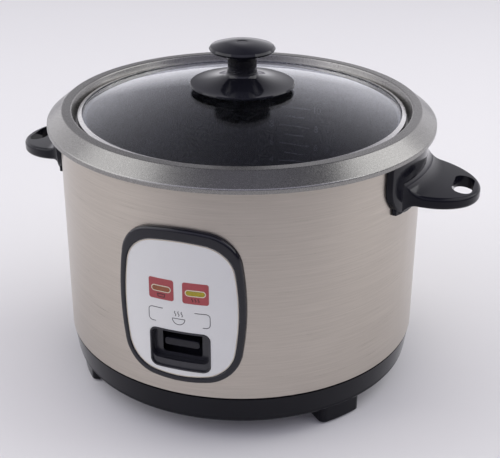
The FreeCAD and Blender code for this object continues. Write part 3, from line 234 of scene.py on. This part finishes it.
def plain_metal(name, colour, gloss, marks=0.12):
    """Sheet or turned metal with mottling and fine drawing marks."""
    material, tree, shader = new_finish(name, Metallic=1.0)
    drawn = noise(tree, drum_vector(tree, 6.0, 1500.0, 700.0), 1.0, 3.0, 0.6)
    mottle = noise(tree, place(tree), 95.0, 4.0, 0.6)
    mixed = blend(tree, (drawn, 0.55), (mottle, 0.45))
    dark = tuple(share * (1.0 - marks) for share in colour)
    light = tuple(min(1.0, share * (1.0 + marks)) for share in colour)
    tone = mix_colours(tree, spread(tree, mixed, 0.0, 1.0), (*dark, 1), (*light, 1))
    feed(tree, tone, shader, "Base Color")
    feed(tree, spread(tree, mixed, gloss * 0.8, gloss * 1.3), shader, "Roughness")
    relief(tree, shader, mixed, 0.00003, 0.4)
    return material


def turned_plate():
    """Cast heating plate with turned rings on its top."""
    material, tree, shader = new_finish("turned_aluminium", Metallic=1.0)
    rings = noise(tree, drum_vector(tree, 0.6, 40.0, 1600.0), 1.0, 3.0, 0.6)
    stain = noise(tree, place(tree), 26.0, 4.0, 0.6)
    tone = mix_colours(tree, spread(tree, rings, 0.0, 1.0), (0.50, 0.50, 0.50, 1), (0.72, 0.72, 0.71, 1))
    tone = mix_colours(tree, spread(tree, stain, 0.0, 0.45, 0.45, 0.75), tone, (0.40, 0.36, 0.31, 1))
    feed(tree, tone, shader, "Base Color")
    feed(tree, spread(tree, rings, 0.32, 0.52), shader, "Roughness")
    relief(tree, shader, rings, 0.00006, 0.6)
    return material


def clear_glass(name, deep, pale, smudge):
    """Glass with faint wiping marks."""
    material, tree, shader = new_finish(name, Transmission_Weight=1.0, IOR=1.5)
    wipe = noise(tree, place(tree), 24.0, 4.0, 0.6)
    feed(tree, mix_colours(tree, spread(tree, wipe, 0.0, 1.0), deep, pale), shader, "Base Color")
    feed(tree, spread(tree, wipe, 0.0, smudge), shader, "Roughness")
    return material


def tinted_lens(name, deep, bright):
    """Lamp lens: tinted, glossy, with fine moulded ribs inside it."""
    material, tree, shader = new_finish(
        name, Coat_Weight=0.25, Coat_Roughness=0.05,
        Subsurface_Weight=0.15, Subsurface_Radius=(0.002, 0.001, 0.0004))
    ribs = put(tree, "ShaderNodeTexWave", {
        "Vector": place(tree), "Scale": 380.0, "Distortion": 0.4}, bands_direction="X")
    drift = noise(tree, place(tree), 260.0, 3.0)
    depth = blend(tree, (ribs.outputs["Fac"], 0.5), (drift, 0.5))
    feed(tree, mix_colours(tree, spread(tree, depth, 0.0, 1.0), deep, bright), shader, "Base Color")
    feed(tree, spread(tree, drift, 0.14, 0.26), shader, "Roughness")
    relief(tree, shader, ribs.outputs["Fac"], 0.00008, 0.5)
    return material


def printed_ink(name, colour):
    """Screen print with a fine satin skin."""
    return moulded(name, colour, 0.42, 0.00001, 2600.0)


def pale_floor(dim_from=0.22, dim_to=1.0):
    """Pale floor whose colour darkens softly to the front of the room, between two distances from the
    cooker: painted shade.
    """
    material, tree, shader = new_finish("studio_floor", Roughness=0.75, Specular_IOR_Level=0.2)
    grain = noise(tree, place(tree), 3.0, 3.0)
    pale = mix_colours(tree, grain, (0.706, 0.694, 0.698, 1), (0.718, 0.706, 0.710, 1))
    ahead = put(tree, "ShaderNodeVectorMath", {0: place(tree), 1: ROOM_FRONT}, operation="DOT_PRODUCT")
    # Painted shade: the floor's colour is darkened toward the front of the room, where the room is dim
    painted_front_shade = spread(tree, ahead.outputs["Value"], 0.0, 1.0, dim_from, dim_to)
    feed(tree, mix_colours(tree, painted_front_shade, pale, (0.40, 0.393, 0.396, 1)), shader, "Base Color")
    return material


FINISH_OF_SLOT = {
    "black_plastic": moulded("base_black", (0.004, 0.004, 0.007), 0.13, 0.00001, 1100.0, specular=0.2),
    "rubber": moulded("foot_rubber", (0.020, 0.020, 0.020), 0.72, 0.00006, 900.0),
    "inner_steel": plain_metal("inner_zinc", (0.50, 0.50, 0.49), 0.38),
    "screw_steel": plain_metal("screw_bright", (0.62, 0.61, 0.60), 0.26),
    "wall_steel": brushed_steel(),
    "liner_steel": plain_metal("liner_steel", (0.58, 0.57, 0.56), 0.34),
    "cast_aluminium": turned_plate(),
    "element_steel": plain_metal("element_steel", (0.36, 0.33, 0.30), 0.45, 0.25),
    "sensor_aluminium": plain_metal("sensor_aluminium", (0.70, 0.70, 0.69), 0.3),
    "spring_steel": plain_metal("spring_steel", (0.46, 0.45, 0.44), 0.3),
    "magnet_ferrite": moulded("magnet_ferrite", (0.060, 0.060, 0.064), 0.55, 0.00006, 1900.0),
    "switch_plastic": moulded("switch_black", (0.019, 0.019, 0.025), 0.22),
    "switch_case": moulded("brown_moulding", (0.16, 0.075, 0.040), 0.45, 0.00004, 1300.0),
    "button_plastic": moulded("red_button", (0.55, 0.05, 0.035), 0.35),
    "fuse_ceramic": moulded("fuse_ceramic", (0.74, 0.72, 0.66), 0.5, 0.00004, 1700.0),
    "bezel_plastic": moulded("bezel_black", (0.006, 0.006, 0.011), 0.09, 0.00001, 900.0, specular=0.42),
    "plate_plastic": moulded("panel_pale", (0.70, 0.70, 0.685), 0.46, 0.00001, 2200.0, mottle=0.12),
    "amber_lens": tinted_lens("lamp_amber", (0.17, 0.042, 0.010, 1), (0.33, 0.095, 0.025, 1)),
    "green_lens": tinted_lens("lamp_green", (0.27, 0.21, 0.001, 1), (0.44, 0.36, 0.003, 1)),
    "holder_plastic": moulded("holder_white", (0.72, 0.72, 0.69), 0.5),
    "bulb_glass": clear_glass("bulb_glass", (0.95, 0.80, 0.68, 1), (0.99, 0.90, 0.82, 1), 0.05),
    "handle_plastic": moulded("handle_black", (0.007, 0.007, 0.011), 0.11, 0.00001, 1000.0, specular=0.15),
    "socket_plastic": moulded("socket_black", (0.016, 0.016, 0.017), 0.48, 0.00004, 1300.0),
    "pin_brass": plain_metal("pin_brass", (0.72, 0.53, 0.24), 0.28),
    "pot_coating": speckled_coating(
        "pot_coating", (0.208, 0.204, 0.197, 1), (0.337, 0.331, 0.320, 1), (0.495, 0.486, 0.470, 1)),
    "lid_glass": clear_glass("lid_glass", (0.76, 0.79, 0.88, 1), (0.80, 0.83, 0.91, 1), 0.03),
    "band_chrome": plain_metal("band_chrome", (0.90, 0.89, 0.88), 0.26, 0.04),
    "knob_plastic": moulded("knob_black", (0.008, 0.008, 0.012), 0.07, 0.00001, 900.0, specular=0.36),
    "gasket_rubber": moulded("gasket_rubber", (0.24, 0.24, 0.24), 0.6),
}

BAR_BLACK = moulded("bar_black", (0.010, 0.010, 0.015), 0.2, specular=0.3)
# Painted highlight: a lighter copy of the pot's coating for the raised level marks and numbers, which are
# the pot's own coating
HIGHLIT_LEVEL_COAT = speckled_coating(
    "level_coating_painted_highlight", (0.46, 0.46, 0.46, 1), (0.66, 0.66, 0.66, 1), (0.82, 0.82, 0.82, 1))

for part in frame["record"]["subparts"]:
    for holder in nodes[part["node"]].material_slots:
        holder.material = FINISH_OF_SLOT[part["material_slot"]]
for holder in nodes["lever_knob"].material_slots:
    holder.material = BAR_BLACK

# Added pieces: small tools


def add_piece(name, mesh, finish, body):
    """A finished mesh as a piece that rides on a body."""
    piece = bpy.data.objects.new(name, mesh)
    bpy.context.scene.collection.objects.link(piece)
    mesh.materials.clear()
    mesh.materials.append(finish)
    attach(piece, body)


def on_plate(across, height, rise=0.0):
    """A point on the panel plate's curve, risen out of it."""
    reach = PLATE_RADIUS + rise
    return across, -math.sqrt(reach ** 2 - across ** 2), height


def evened(path, closed=False, step=1.0 * MM):
    """The same path with its long stretches cut into short ones, so that it can bend with the plate."""
    ends = path[1:] + path[:1] if closed else path[1:]
    points = []
    for here, there in zip(path, ends):
        cuts = max(1, math.ceil(math.dist(here, there) / step))
        across, rise = there[0] - here[0], there[1] - here[1]
        points += [(here[0] + across * cut / cuts, here[1] + rise * cut / cuts) for cut in range(cuts)]
    return points if closed else points + path[-1:]


def round_box(width, height, corner, centre, steps=8, side_steps=10):
    """Closed outline of a rectangle with round corners, as points across and up."""
    corners = []
    for quarter, (side, rise) in enumerate([(1, 1), (-1, 1), (-1, -1), (1, -1)]):
        middle = (centre[0] + side * (width / 2 - corner), centre[1] + rise * (height / 2 - corner))
        turns = [math.radians(90 * quarter + 90 * step / steps) for step in range(steps + 1)]
        corners.append([
            (middle[0] + corner * math.cos(turn), middle[1] + corner * math.sin(turn)) for turn in turns])
    outline = []
    for number, points in enumerate(corners):
        start, stop = points[-1], corners[(number + 1) % 4][0]
        outline += points
        outline += [(start[0] + (stop[0] - start[0]) * part / side_steps,
                     start[1] + (stop[1] - start[1]) * part / side_steps) for part in range(1, side_steps)]
    return outline


def print_patch(name, outline, hole, rise, finish, sink=0.02 * MM, soft=0.04 * MM):
    """A thin raised patch on the panel plate round a hole, with its front edges softened."""
    form = bmesh.new()
    layers = []
    for loop in (outline, hole):
        near = [form.verts.new(on_plate(x, z, rise)) for x, z in loop]
        far = [form.verts.new(on_plate(x, z, -sink)) for x, z in loop]
        layers.append((near, far))
    count = len(outline)
    rim = []
    for number in range(count):
        after = (number + 1) % count
        for near, far in layers:
            form.faces.new((near[number], near[after], far[after], far[number]))
            rim.append(form.edges.get((near[number], near[after])))
        for layer in (0, 1):
            outer, inner = layers[0][layer], layers[1][layer]
            form.faces.new((outer[number], outer[after], inner[after], inner[number]))
    bmesh.ops.recalc_face_normals(form, faces=form.faces)
    bmesh.ops.bevel(form, geom=rim, offset=soft, segments=2, affect="EDGES", profile=0.6)
    mesh = bpy.data.meshes.new(name)
    form.to_mesh(mesh)
    form.free()
    add_piece(name, mesh, finish, "cooker")


def new_tree(name, inputs):
    """A geometry tree with a geometry socket in and out and the named inputs."""
    tree = bpy.data.node_groups.new(name, "GeometryNodeTree")
    tree.interface.new_socket("Geometry", in_out="INPUT", socket_type="NodeSocketGeometry")
    for label, kind in inputs.items():
        tree.interface.new_socket(label, in_out="INPUT", socket_type=kind)
    tree.interface.new_socket("Geometry", in_out="OUTPUT", socket_type="NodeSocketGeometry")
    return tree, tree.nodes.new("NodeGroupInput"), tree.nodes.new("NodeGroupOutput")


def grown_mesh(name, host, tree, settings):
    """Runs a geometry tree on a host mesh and returns the plain mesh that it makes."""
    carrier = bpy.data.objects.new(name + "_host", host)
    bpy.context.scene.collection.objects.link(carrier)
    modifier = carrier.modifiers.new("grow", "NODES")
    modifier.node_group = tree
    names = {item.name: item.identifier for item in tree.interface.items_tree if item.in_out == "INPUT"}
    for label, setting in settings.items():
        modifier[names[label]] = setting
    graph = bpy.context.evaluated_depsgraph_get()
    mesh = bpy.data.meshes.new_from_object(carrier.evaluated_get(graph))
    mesh.name = name
    carrier.modifiers.clear()
    bpy.data.objects.remove(carrier)
    return mesh


def printed_line_tree():
    """Flat printed line that follows the host's edges on the panel plate."""
    tree, inputs, outputs = new_tree("printed_line", {
        "Line width": "NodeSocketFloat", "Line height": "NodeSocketFloat", "Ink": "NodeSocketMaterial"})
    path = put(tree, "GeometryNodeMeshToCurve", {"Mesh": inputs.outputs["Geometry"]})
    outward = put(tree, "ShaderNodeVectorMath", {
        0: put(tree, "GeometryNodeInputPosition").outputs[0], 1: (1.0, 1.0, 0.0)}, operation="MULTIPLY")
    facing = put(tree, "GeometryNodeSetCurveNormal", {
        "Curve": path.outputs[0], "Normal": outward.outputs[0]}, mode="FREE")
    section = put(tree, "GeometryNodeCurvePrimitiveQuadrilateral", {
        "Width": inputs.outputs["Line height"], "Height": inputs.outputs["Line width"]})
    strip = put(tree, "GeometryNodeCurveToMesh", {
        "Curve": facing.outputs[0], "Profile Curve": section.outputs[0], "Fill Caps": True})
    real = put(tree, "GeometryNodeRealizeInstances", {"Geometry": strip.outputs[0]})
    inked = put(tree, "GeometryNodeSetMaterial", {
        "Geometry": real.outputs[0], "Material": inputs.outputs["Ink"]})
    tree.links.new(inked.outputs[0], outputs.inputs[0])
    return tree


def level_mark_tree():
    """Raised level marks on the pot's wall: long and short bars in turn, bent to the wall."""
    tree, inputs, outputs = new_tree("level_marks", {
        "Marks": "NodeSocketInt", "Lowest mark": "NodeSocketFloat", "Mark spacing": "NodeSocketFloat",
        "Long mark": "NodeSocketFloat", "Short mark": "NodeSocketFloat", "Mark width": "NodeSocketFloat",
        "Mark rise": "NodeSocketFloat", "Wall radius": "NodeSocketFloat", "Wall turn": "NodeSocketFloat",
        "Coating": "NodeSocketMaterial"})
    given = inputs.outputs
    step = put(tree, "ShaderNodeCombineXYZ", {2: given["Mark spacing"]})
    start = put(tree, "ShaderNodeCombineXYZ", {2: given["Lowest mark"]})
    ladder = put(tree, "GeometryNodeMeshLine", {
        "Count": given["Marks"], "Start Location": start.outputs[0], "Offset": step.outputs[0]})
    order = put(tree, "GeometryNodeInputIndex")
    odd = put(tree, "ShaderNodeMath", {0: order.outputs[0], 1: 2.0}, operation="MODULO")
    length = put(tree, "ShaderNodeMapRange", {
        "Value": odd.outputs[0], "To Min": given["Long mark"], "To Max": given["Short mark"]})
    size = put(tree, "ShaderNodeCombineXYZ", {
        0: length.outputs[0], 1: given["Mark rise"], 2: given["Mark width"]})
    bar = put(tree, "GeometryNodeMeshCube", {"Vertices X": 17, "Vertices Y": 2, "Vertices Z": 3})
    bars = put(tree, "GeometryNodeInstanceOnPoints", {
        "Points": ladder.outputs[0], "Instance": bar.outputs[0], "Scale": size.outputs[0]})
    real = put(tree, "GeometryNodeRealizeInstances", {"Geometry": bars.outputs[0]})
    where = put(tree, "ShaderNodeSeparateXYZ", {0: put(tree, "GeometryNodeInputPosition").outputs[0]})
    sweep = reckon(tree, "DIVIDE", where.outputs["X"], given["Wall radius"])
    turn = reckon(tree, "SUBTRACT", given["Wall turn"], sweep)
    reach = reckon(tree, "SUBTRACT", given["Wall radius"], where.outputs["Y"])
    across = reckon(tree, "MULTIPLY", reach, reckon(tree, "COSINE", turn))
    away = reckon(tree, "MULTIPLY", reach, reckon(tree, "SINE", turn))
    bent = put(tree, "ShaderNodeCombineXYZ", {0: across, 1: away, 2: where.outputs["Z"]})
    wrapped = put(tree, "GeometryNodeSetPosition", {
        "Geometry": real.outputs[0], "Position": bent.outputs[0]})
    coated = put(tree, "GeometryNodeSetMaterial", {
        "Geometry": wrapped.outputs[0], "Material": given["Coating"]})
    tree.links.new(coated.outputs[0], outputs.inputs[0])
    return tree


def line_host(name, paths, rise):
    """Host mesh of open or closed paths on the panel plate, as points across and up."""
    points, edges = [], []
    for path, closed in paths:
        first = len(points)
        points += [on_plate(x, z, rise) for x, z in evened(path, closed)]
        last = len(points) - 1
        edges += [(number, number + 1) for number in range(first, last)]
        if closed:
            edges.append((last, first))
    mesh = bpy.data.meshes.new(name + "_paths")
    mesh.from_pydata(points, edges, [])
    return mesh


PRINTED_LINE = printed_line_tree()


def print_lines(name, paths, width, ink, rise=0.0, height=0.16 * MM):
    """Printed lines on the panel plate, or on a print that is risen out of it."""
    mesh = grown_mesh(name, line_host(name, paths, rise), PRINTED_LINE, {
        "Line width": width, "Line height": height, "Ink": ink})
    add_piece(name, mesh, ink, "cooker")


# Panel print: lamp squares, lens rims, bracket line and plain signs

square_red = printed_ink("square_red", (0.34, 0.055, 0.062))
rim_cream = printed_ink("rim_cream", (0.66, 0.60, 0.46))
line_black = printed_ink("line_black", (0.018, 0.018, 0.022))

SQUARE_SIZE = (17.0 * MM, 14.7 * MM)
SQUARE_CORNER = 1.6 * MM
SQUARE_DROP = 0.3 * MM
SQUARE_RISE = 0.12 * MM
SQUARE_GAP = 0.05 * MM
RIM_WIDTH = 0.65 * MM
RIM_RISE = 0.3 * MM
RIM_GAP = 0.03 * MM


def round_lens(centre, gap, corner=LENS_SIZE[1] / 2):
    """Outline round a lens, at a gap from it."""
    return round_box(LENS_SIZE[0] + 2 * gap, LENS_SIZE[1] + 2 * gap, corner, centre)


for label, side in (("cook", -1), ("warm", 1)):
    lens = (side * LAMP_OFFSET, LAMP_HEIGHT)
    square = round_box(*SQUARE_SIZE, SQUARE_CORNER, (lens[0], LAMP_HEIGHT - SQUARE_DROP))
    print_patch(label + "_square", square, round_lens(lens, SQUARE_GAP), SQUARE_RISE, square_red)
    rim = round_lens(lens, RIM_WIDTH, LENS_SIZE[1] / 2 + RIM_WIDTH)
    print_patch(label + "_rim", rim, round_lens(lens, RIM_GAP), RIM_RISE, rim_cream)

BRACKET_SIZE = (41.0 * MM, 10.0 * MM)
BRACKET_CORNER = 2.6 * MM
BRACKET_MIDDLE = 93.0 * MM
UPPER_BREAK = 10.6 * MM
LOWER_BREAK = 15.8 * MM
LINE_WIDTH = 0.42 * MM


def bracket_half(side, steps=8):
    """One half of the bracket line, from its upper break round the side to its lower break."""
    half_width, half_height = BRACKET_SIZE[0] / 2, BRACKET_SIZE[1] / 2
    path = [(side * UPPER_BREAK, BRACKET_MIDDLE + half_height)]
    for rise in (1, -1):
        for step in range(steps + 1):
            turn = math.radians(90 * step / steps)
            share = (math.sin(turn), math.cos(turn)) if rise > 0 else (math.cos(turn), math.sin(turn))
            path.append((side * (half_width + BRACKET_CORNER * (share[0] - 1.0)),
                         BRACKET_MIDDLE + rise * (half_height + BRACKET_CORNER * (share[1] - 1.0))))
    path.append((side * LOWER_BREAK, BRACKET_MIDDLE - half_height))
    return path


print_lines("bracket_line", [(bracket_half(side), False) for side in (-1, 1)], LINE_WIDTH, line_black)


def wave(left, foot, height, swing, steps=10):
    """A short upright wave, for a steam sign."""
    return [(left + swing * math.sin(2 * math.pi * step / steps), foot + height * step / steps)
            for step in range(steps + 1)]


def arc(start, stop, radius, steps):
    """Points on an arc that bulges to the right of its way from start towards stop."""
    chord = Vector(stop) - Vector(start)
    inward = Vector((-chord.y, chord.x)).normalized() * math.sqrt(radius ** 2 - chord.length_squared / 4)
    heart = Vector(start) + chord / 2 + inward
    turn = math.atan2(start[1] - heart.y, start[0] - heart.x)
    sweep = 2 * math.asin(chord.length / 2 / radius)
    return [(heart.x + radius * math.cos(turn + sweep * step / steps),
             heart.y + radius * math.sin(turn + sweep * step / steps)) for step in range(steps)]


def plate_outline(inset):
    """The plate's bowed outline, set in from its edge."""
    half_width, half_height = PLATE_HALF[0] - inset, PLATE_HALF[1] - inset
    side, end = SIDE_STOP * half_height, END_STOP * half_width
    side_bow, end_bow = SIDE_BOW * half_width, END_BOW * half_width
    wide = half_width - side_bow + math.sqrt(side_bow ** 2 - side ** 2)
    tall = half_height - end_bow + math.sqrt(end_bow ** 2 - end ** 2)
    soft = math.hypot(wide - end, tall - side) / CORNER_CHORD
    low, high = PLATE_MIDDLE - tall, PLATE_MIDDLE + tall
    lower, upper = PLATE_MIDDLE - side, PLATE_MIDDLE + side
    return (arc((wide, lower), (wide, upper), side_bow, 30) + arc((wide, upper), (end, high), soft, 16)
            + arc((end, high), (-end, high), end_bow, 24) + arc((-end, high), (-wide, upper), soft, 16)
            + arc((-wide, upper), (-wide, lower), side_bow, 30) + arc((-wide, lower), (-end, low), soft, 16)
            + arc((-end, low), (end, low), end_bow, 24) + arc((end, low), (wide, lower), soft, 16))


EDGE_INSET = 0.4 * MM
EDGE_WIDTH = 0.6 * MM
edge_cream = printed_ink("edge_cream", (0.56, 0.50, 0.40))
print_lines("plate_edge", [(plate_outline(EDGE_INSET), True)], EDGE_WIDTH, edge_cream)

STEAM_FOOT = BRACKET_MIDDLE + 1.1 * MM
STEAM_HEIGHT = 3.6 * MM
STEAM_SWING = 0.45 * MM
STEAM_PITCH = 2.2 * MM
BOWL_TOP = BRACKET_MIDDLE - 0.6 * MM
BOWL_RADIUS = 4.2 * MM
steam = [(wave(number * STEAM_PITCH, STEAM_FOOT, STEAM_HEIGHT, STEAM_SWING), False)
         for number in (-1, 0, 1)]
bowl_turns = [math.radians(turn) for turn in range(180, 361, 12)]
bowl = [(BOWL_RADIUS * math.cos(turn), BOWL_TOP + BOWL_RADIUS * math.sin(turn)) for turn in bowl_turns]
print_lines("bowl_sign", [*steam, (bowl, True)], LINE_WIDTH, line_black)

SIGN_FOOT = LAMP_HEIGHT - 5.9 * MM
SIGN_LINE = 0.46 * MM
POT_SIGN = (4.6 * MM, 2.0 * MM)
POT_SIGN_CORNER = 0.5 * MM
LID_SIGN_HALF = 2.9 * MM
WARM_HEIGHT = 2.5 * MM
WARM_SWING = 0.4 * MM
WARM_PITCH = 2.0 * MM
pot_middle = (-LAMP_OFFSET, SIGN_FOOT + POT_SIGN[1] / 2)
pot_sign = round_box(*POT_SIGN, POT_SIGN_CORNER, pot_middle, 3)
lid_sign = [(side * LID_SIGN_HALF - LAMP_OFFSET, SIGN_FOOT + POT_SIGN[1]) for side in (-1, 1)]
warm_sign = [(wave(LAMP_OFFSET + number * WARM_PITCH, SIGN_FOOT, WARM_HEIGHT, WARM_SWING), False)
             for number in (-1, 0, 1)]
sign_ink = printed_ink("sign_ink", (0.030, 0.010, 0.012))
for label, paths in (("cook_sign", [(pot_sign, True), (lid_sign, False)]), ("warm_sign", warm_sign)):
    print_lines(label, paths, SIGN_LINE, sign_ink, SQUARE_RISE)

# Level scale on the pot's wall

SCALE_TURN = math.radians(85.2)
LOWEST_MARK = 96.5 * MM
MARK_SPACING = 7.5 * MM
MARK_COUNT = 9
MARK_RISE = 0.7 * MM
MARK_WIDTH = 0.9 * MM
LONG_MARK = 25.0 * MM
SHORT_MARK = 16.0 * MM
NUMBER_SIZE = 7.6 * MM
NUMBER_RISE = 0.36 * MM
NUMBER_OFFSET = 18.6 * MM

marks = grown_mesh("level_marks", bpy.data.meshes.new("level_marks_host"), level_mark_tree(), {
    "Marks": MARK_COUNT, "Lowest mark": LOWEST_MARK, "Mark spacing": MARK_SPACING,
    "Long mark": LONG_MARK, "Short mark": SHORT_MARK, "Mark width": MARK_WIDTH, "Mark rise": MARK_RISE,
    "Wall radius": POT_WALL, "Wall turn": SCALE_TURN, "Coating": HIGHLIT_LEVEL_COAT})
add_piece("level_marks", marks, HIGHLIT_LEVEL_COAT, "inner_pot")


def wall_number(number, across, height):
    """A raised number on the pot's wall, read from inside the pot."""
    letters = bpy.data.curves.new("level_number", "FONT")
    letters.body = str(number)
    letters.size = NUMBER_SIZE
    letters.align_x = "CENTER"
    letters.align_y = "CENTER"
    letters.extrude = NUMBER_RISE
    letters.resolution_u = 4
    carrier = bpy.data.objects.new("level_number_host", letters)
    bpy.context.scene.collection.objects.link(carrier)
    graph = bpy.context.evaluated_depsgraph_get()
    mesh = bpy.data.meshes.new_from_object(carrier.evaluated_get(graph))
    bpy.data.objects.remove(carrier)
    for vertex in mesh.vertices:
        turn = SCALE_TURN - (across + vertex.co.x) / POT_WALL
        reach = POT_WALL - vertex.co.z
        vertex.co = (reach * math.cos(turn), reach * math.sin(turn), height + vertex.co.y)
    return mesh


numbers = bmesh.new()
for mark in range(0, MARK_COUNT, 2):
    for side in (-1, 1):
        number_form = wall_number(mark + 2, side * NUMBER_OFFSET, LOWEST_MARK + mark * MARK_SPACING)
        numbers.from_mesh(number_form)
        bpy.data.meshes.remove(number_form)
bmesh.ops.remove_doubles(numbers, verts=numbers.verts, dist=1e-6)
bmesh.ops.recalc_face_normals(numbers, faces=numbers.faces)
number_mesh = bpy.data.meshes.new("level_numbers")
numbers.to_mesh(number_mesh)
numbers.free()
add_piece("level_numbers", number_mesh, HIGHLIT_LEVEL_COAT, "inner_pot")

# Studio: floor, world, lamps and camera

FLOOR_REACH = 14.0
floor_mesh = bpy.data.meshes.new("floor")
floor_corners = [(x * FLOOR_REACH, y * FLOOR_REACH, 0.0) for x, y in ((-1, -1), (1, -1), (1, 1), (-1, 1))]
floor_mesh.from_pydata(floor_corners, [], [(0, 1, 2, 3)])
floor = bpy.data.objects.new("floor", floor_mesh)
bpy.context.scene.collection.objects.link(floor)
floor_mesh.materials.append(pale_floor())

# Surroundings: pale walls at both sides and low down at the back, a dim ceiling, and a high window in front
world = bpy.data.worlds.new("studio")
world.use_nodes = True
bpy.context.scene.world = world
sky = world.node_tree
toward = put(sky, "ShaderNodeTexCoord").outputs["Generated"]


def leaning(direction):
    """How far each way of looking leans to one direction, from -1 to 1."""
    made = put(sky, "ShaderNodeVectorMath", {0: toward, 1: direction}, operation="DOT_PRODUCT")
    return made.outputs["Value"]


def ramp(value, start, stop):
    """A soft step from 0 at start to 1 at stop."""
    made = put(sky, "ShaderNodeMapRange", {
        "Value": value, "From Min": start, "From Max": stop}, interpolation_type="SMOOTHSTEP")
    return made.outputs["Result"]


RIGHT_WALL_WAY = ROOM_RIGHT * 0.6 - ROOM_FRONT * 0.8
LEFT_WALL_WAY = -ROOM_RIGHT * 0.97 - ROOM_FRONT * 0.24
LEFT_GLOW = 1.15
BACK_GLOW = 1.1
WINDOW_GLOW = 0.66
ROOM_GLOW = 0.10
WALL_LIGHT = (1.0, 0.985, 1.02)
ROOM_LIGHT = (0.93, 0.92, 1.14)

up_lean = leaning(UP)
right_wall = ramp(leaning(RIGHT_WALL_WAY), 0.55, 1.0)
left_wall = reckon(sky, "MULTIPLY", ramp(leaning(LEFT_WALL_WAY), 0.08, 0.80), LEFT_GLOW)
low_down = reckon(sky, "SUBTRACT", 1.0, ramp(up_lean, 0.0, 0.42))
back_lean = reckon(sky, "MULTIPLY", ramp(leaning(-ROOM_FRONT), 0.0, 0.5), low_down)
back_wall = reckon(sky, "MULTIPLY", back_lean, BACK_GLOW)
window_lean = reckon(sky, "MULTIPLY", ramp(leaning(ROOM_FRONT), 0.1, 0.6), ramp(up_lean, 0.1, 0.5))
front_window = reckon(sky, "MULTIPLY", window_lean, WINDOW_GLOW)
height_fade = spread(sky, up_lean, 1.0, 0.35, 0.2, 0.7)
side_walls = reckon(sky, "MULTIPLY", reckon(sky, "MAXIMUM", right_wall, left_wall), height_fade)
walls = reckon(sky, "MAXIMUM", side_walls, back_wall)
dim = reckon(sky, "ADD", front_window, ROOM_GLOW)
pale_glow = put(sky, "ShaderNodeVectorMath", {0: WALL_LIGHT, "Scale": walls}, operation="SCALE")
cool_glow = put(sky, "ShaderNodeVectorMath", {0: ROOM_LIGHT, "Scale": dim}, operation="SCALE")
glow = put(sky, "ShaderNodeVectorMath", {0: pale_glow.outputs[0], 1: cool_glow.outputs[0]})
sky.links.new(glow.outputs[0], sky.nodes["Background"].inputs["Color"])
sky.nodes["Background"].inputs["Strength"].default_value = 1.0


def soft_lamp(name, position, size, watts, mirrored, target=(0.0, 0.0, 0.1)):
    """A soft box that faces the cooker, and that glossy finishes mirror or not."""
    light = bpy.data.lights.new(name, "AREA")
    light.shape = "RECTANGLE"
    light.size, light.size_y = size
    light.energy = watts
    lamp = bpy.data.objects.new(name, light)
    lamp.location = position
    lamp.rotation_euler = (Vector(target) - Vector(position)).to_track_quat("-Z", "Y").to_euler()
    lamp.visible_glossy = mirrored
    lamp.visible_transmission = False
    bpy.context.scene.collection.objects.link(lamp)


# One soft box overhead, and one at each side that the brim, the knob and the handles mirror
soft_lamp("top_box", (0.0, 0.45, 1.9), (3.4, 0.9), 23.0, mirrored=False)
soft_lamp("left_box", (-1.48, -0.58, 1.38), (1.75, 1.65), 12.0, mirrored=True)
soft_lamp("right_box", (1.56, 0.58, 1.27), (2.2, 1.5), 19.0, mirrored=True)

optics = bpy.data.cameras.new("camera")
optics.sensor_width = SENSOR_WIDTH
optics.lens = CAMERA_LENS
optics.clip_start = 0.01
camera = bpy.data.objects.new("camera", optics)
bpy.context.scene.collection.objects.link(camera)
spot = Matrix.Translation((CAMERA_ASIDE, -CAMERA_REACH, CAMERA_HEIGHT))
stand = Matrix.Rotation(CAMERA_TURN, 4, "Z") @ spot
tilt = Matrix.Rotation(math.pi / 2 - CAMERA_PITCH, 4, "X") @ Matrix.Rotation(CAMERA_ROLL, 4, "Z")
camera.matrix_world = stand @ Matrix.Rotation(-CAMERA_YAW, 4, "Z") @ tilt
bpy.context.scene.camera = camera
bpy.context.scene.view_settings.view_transform = "Standard"
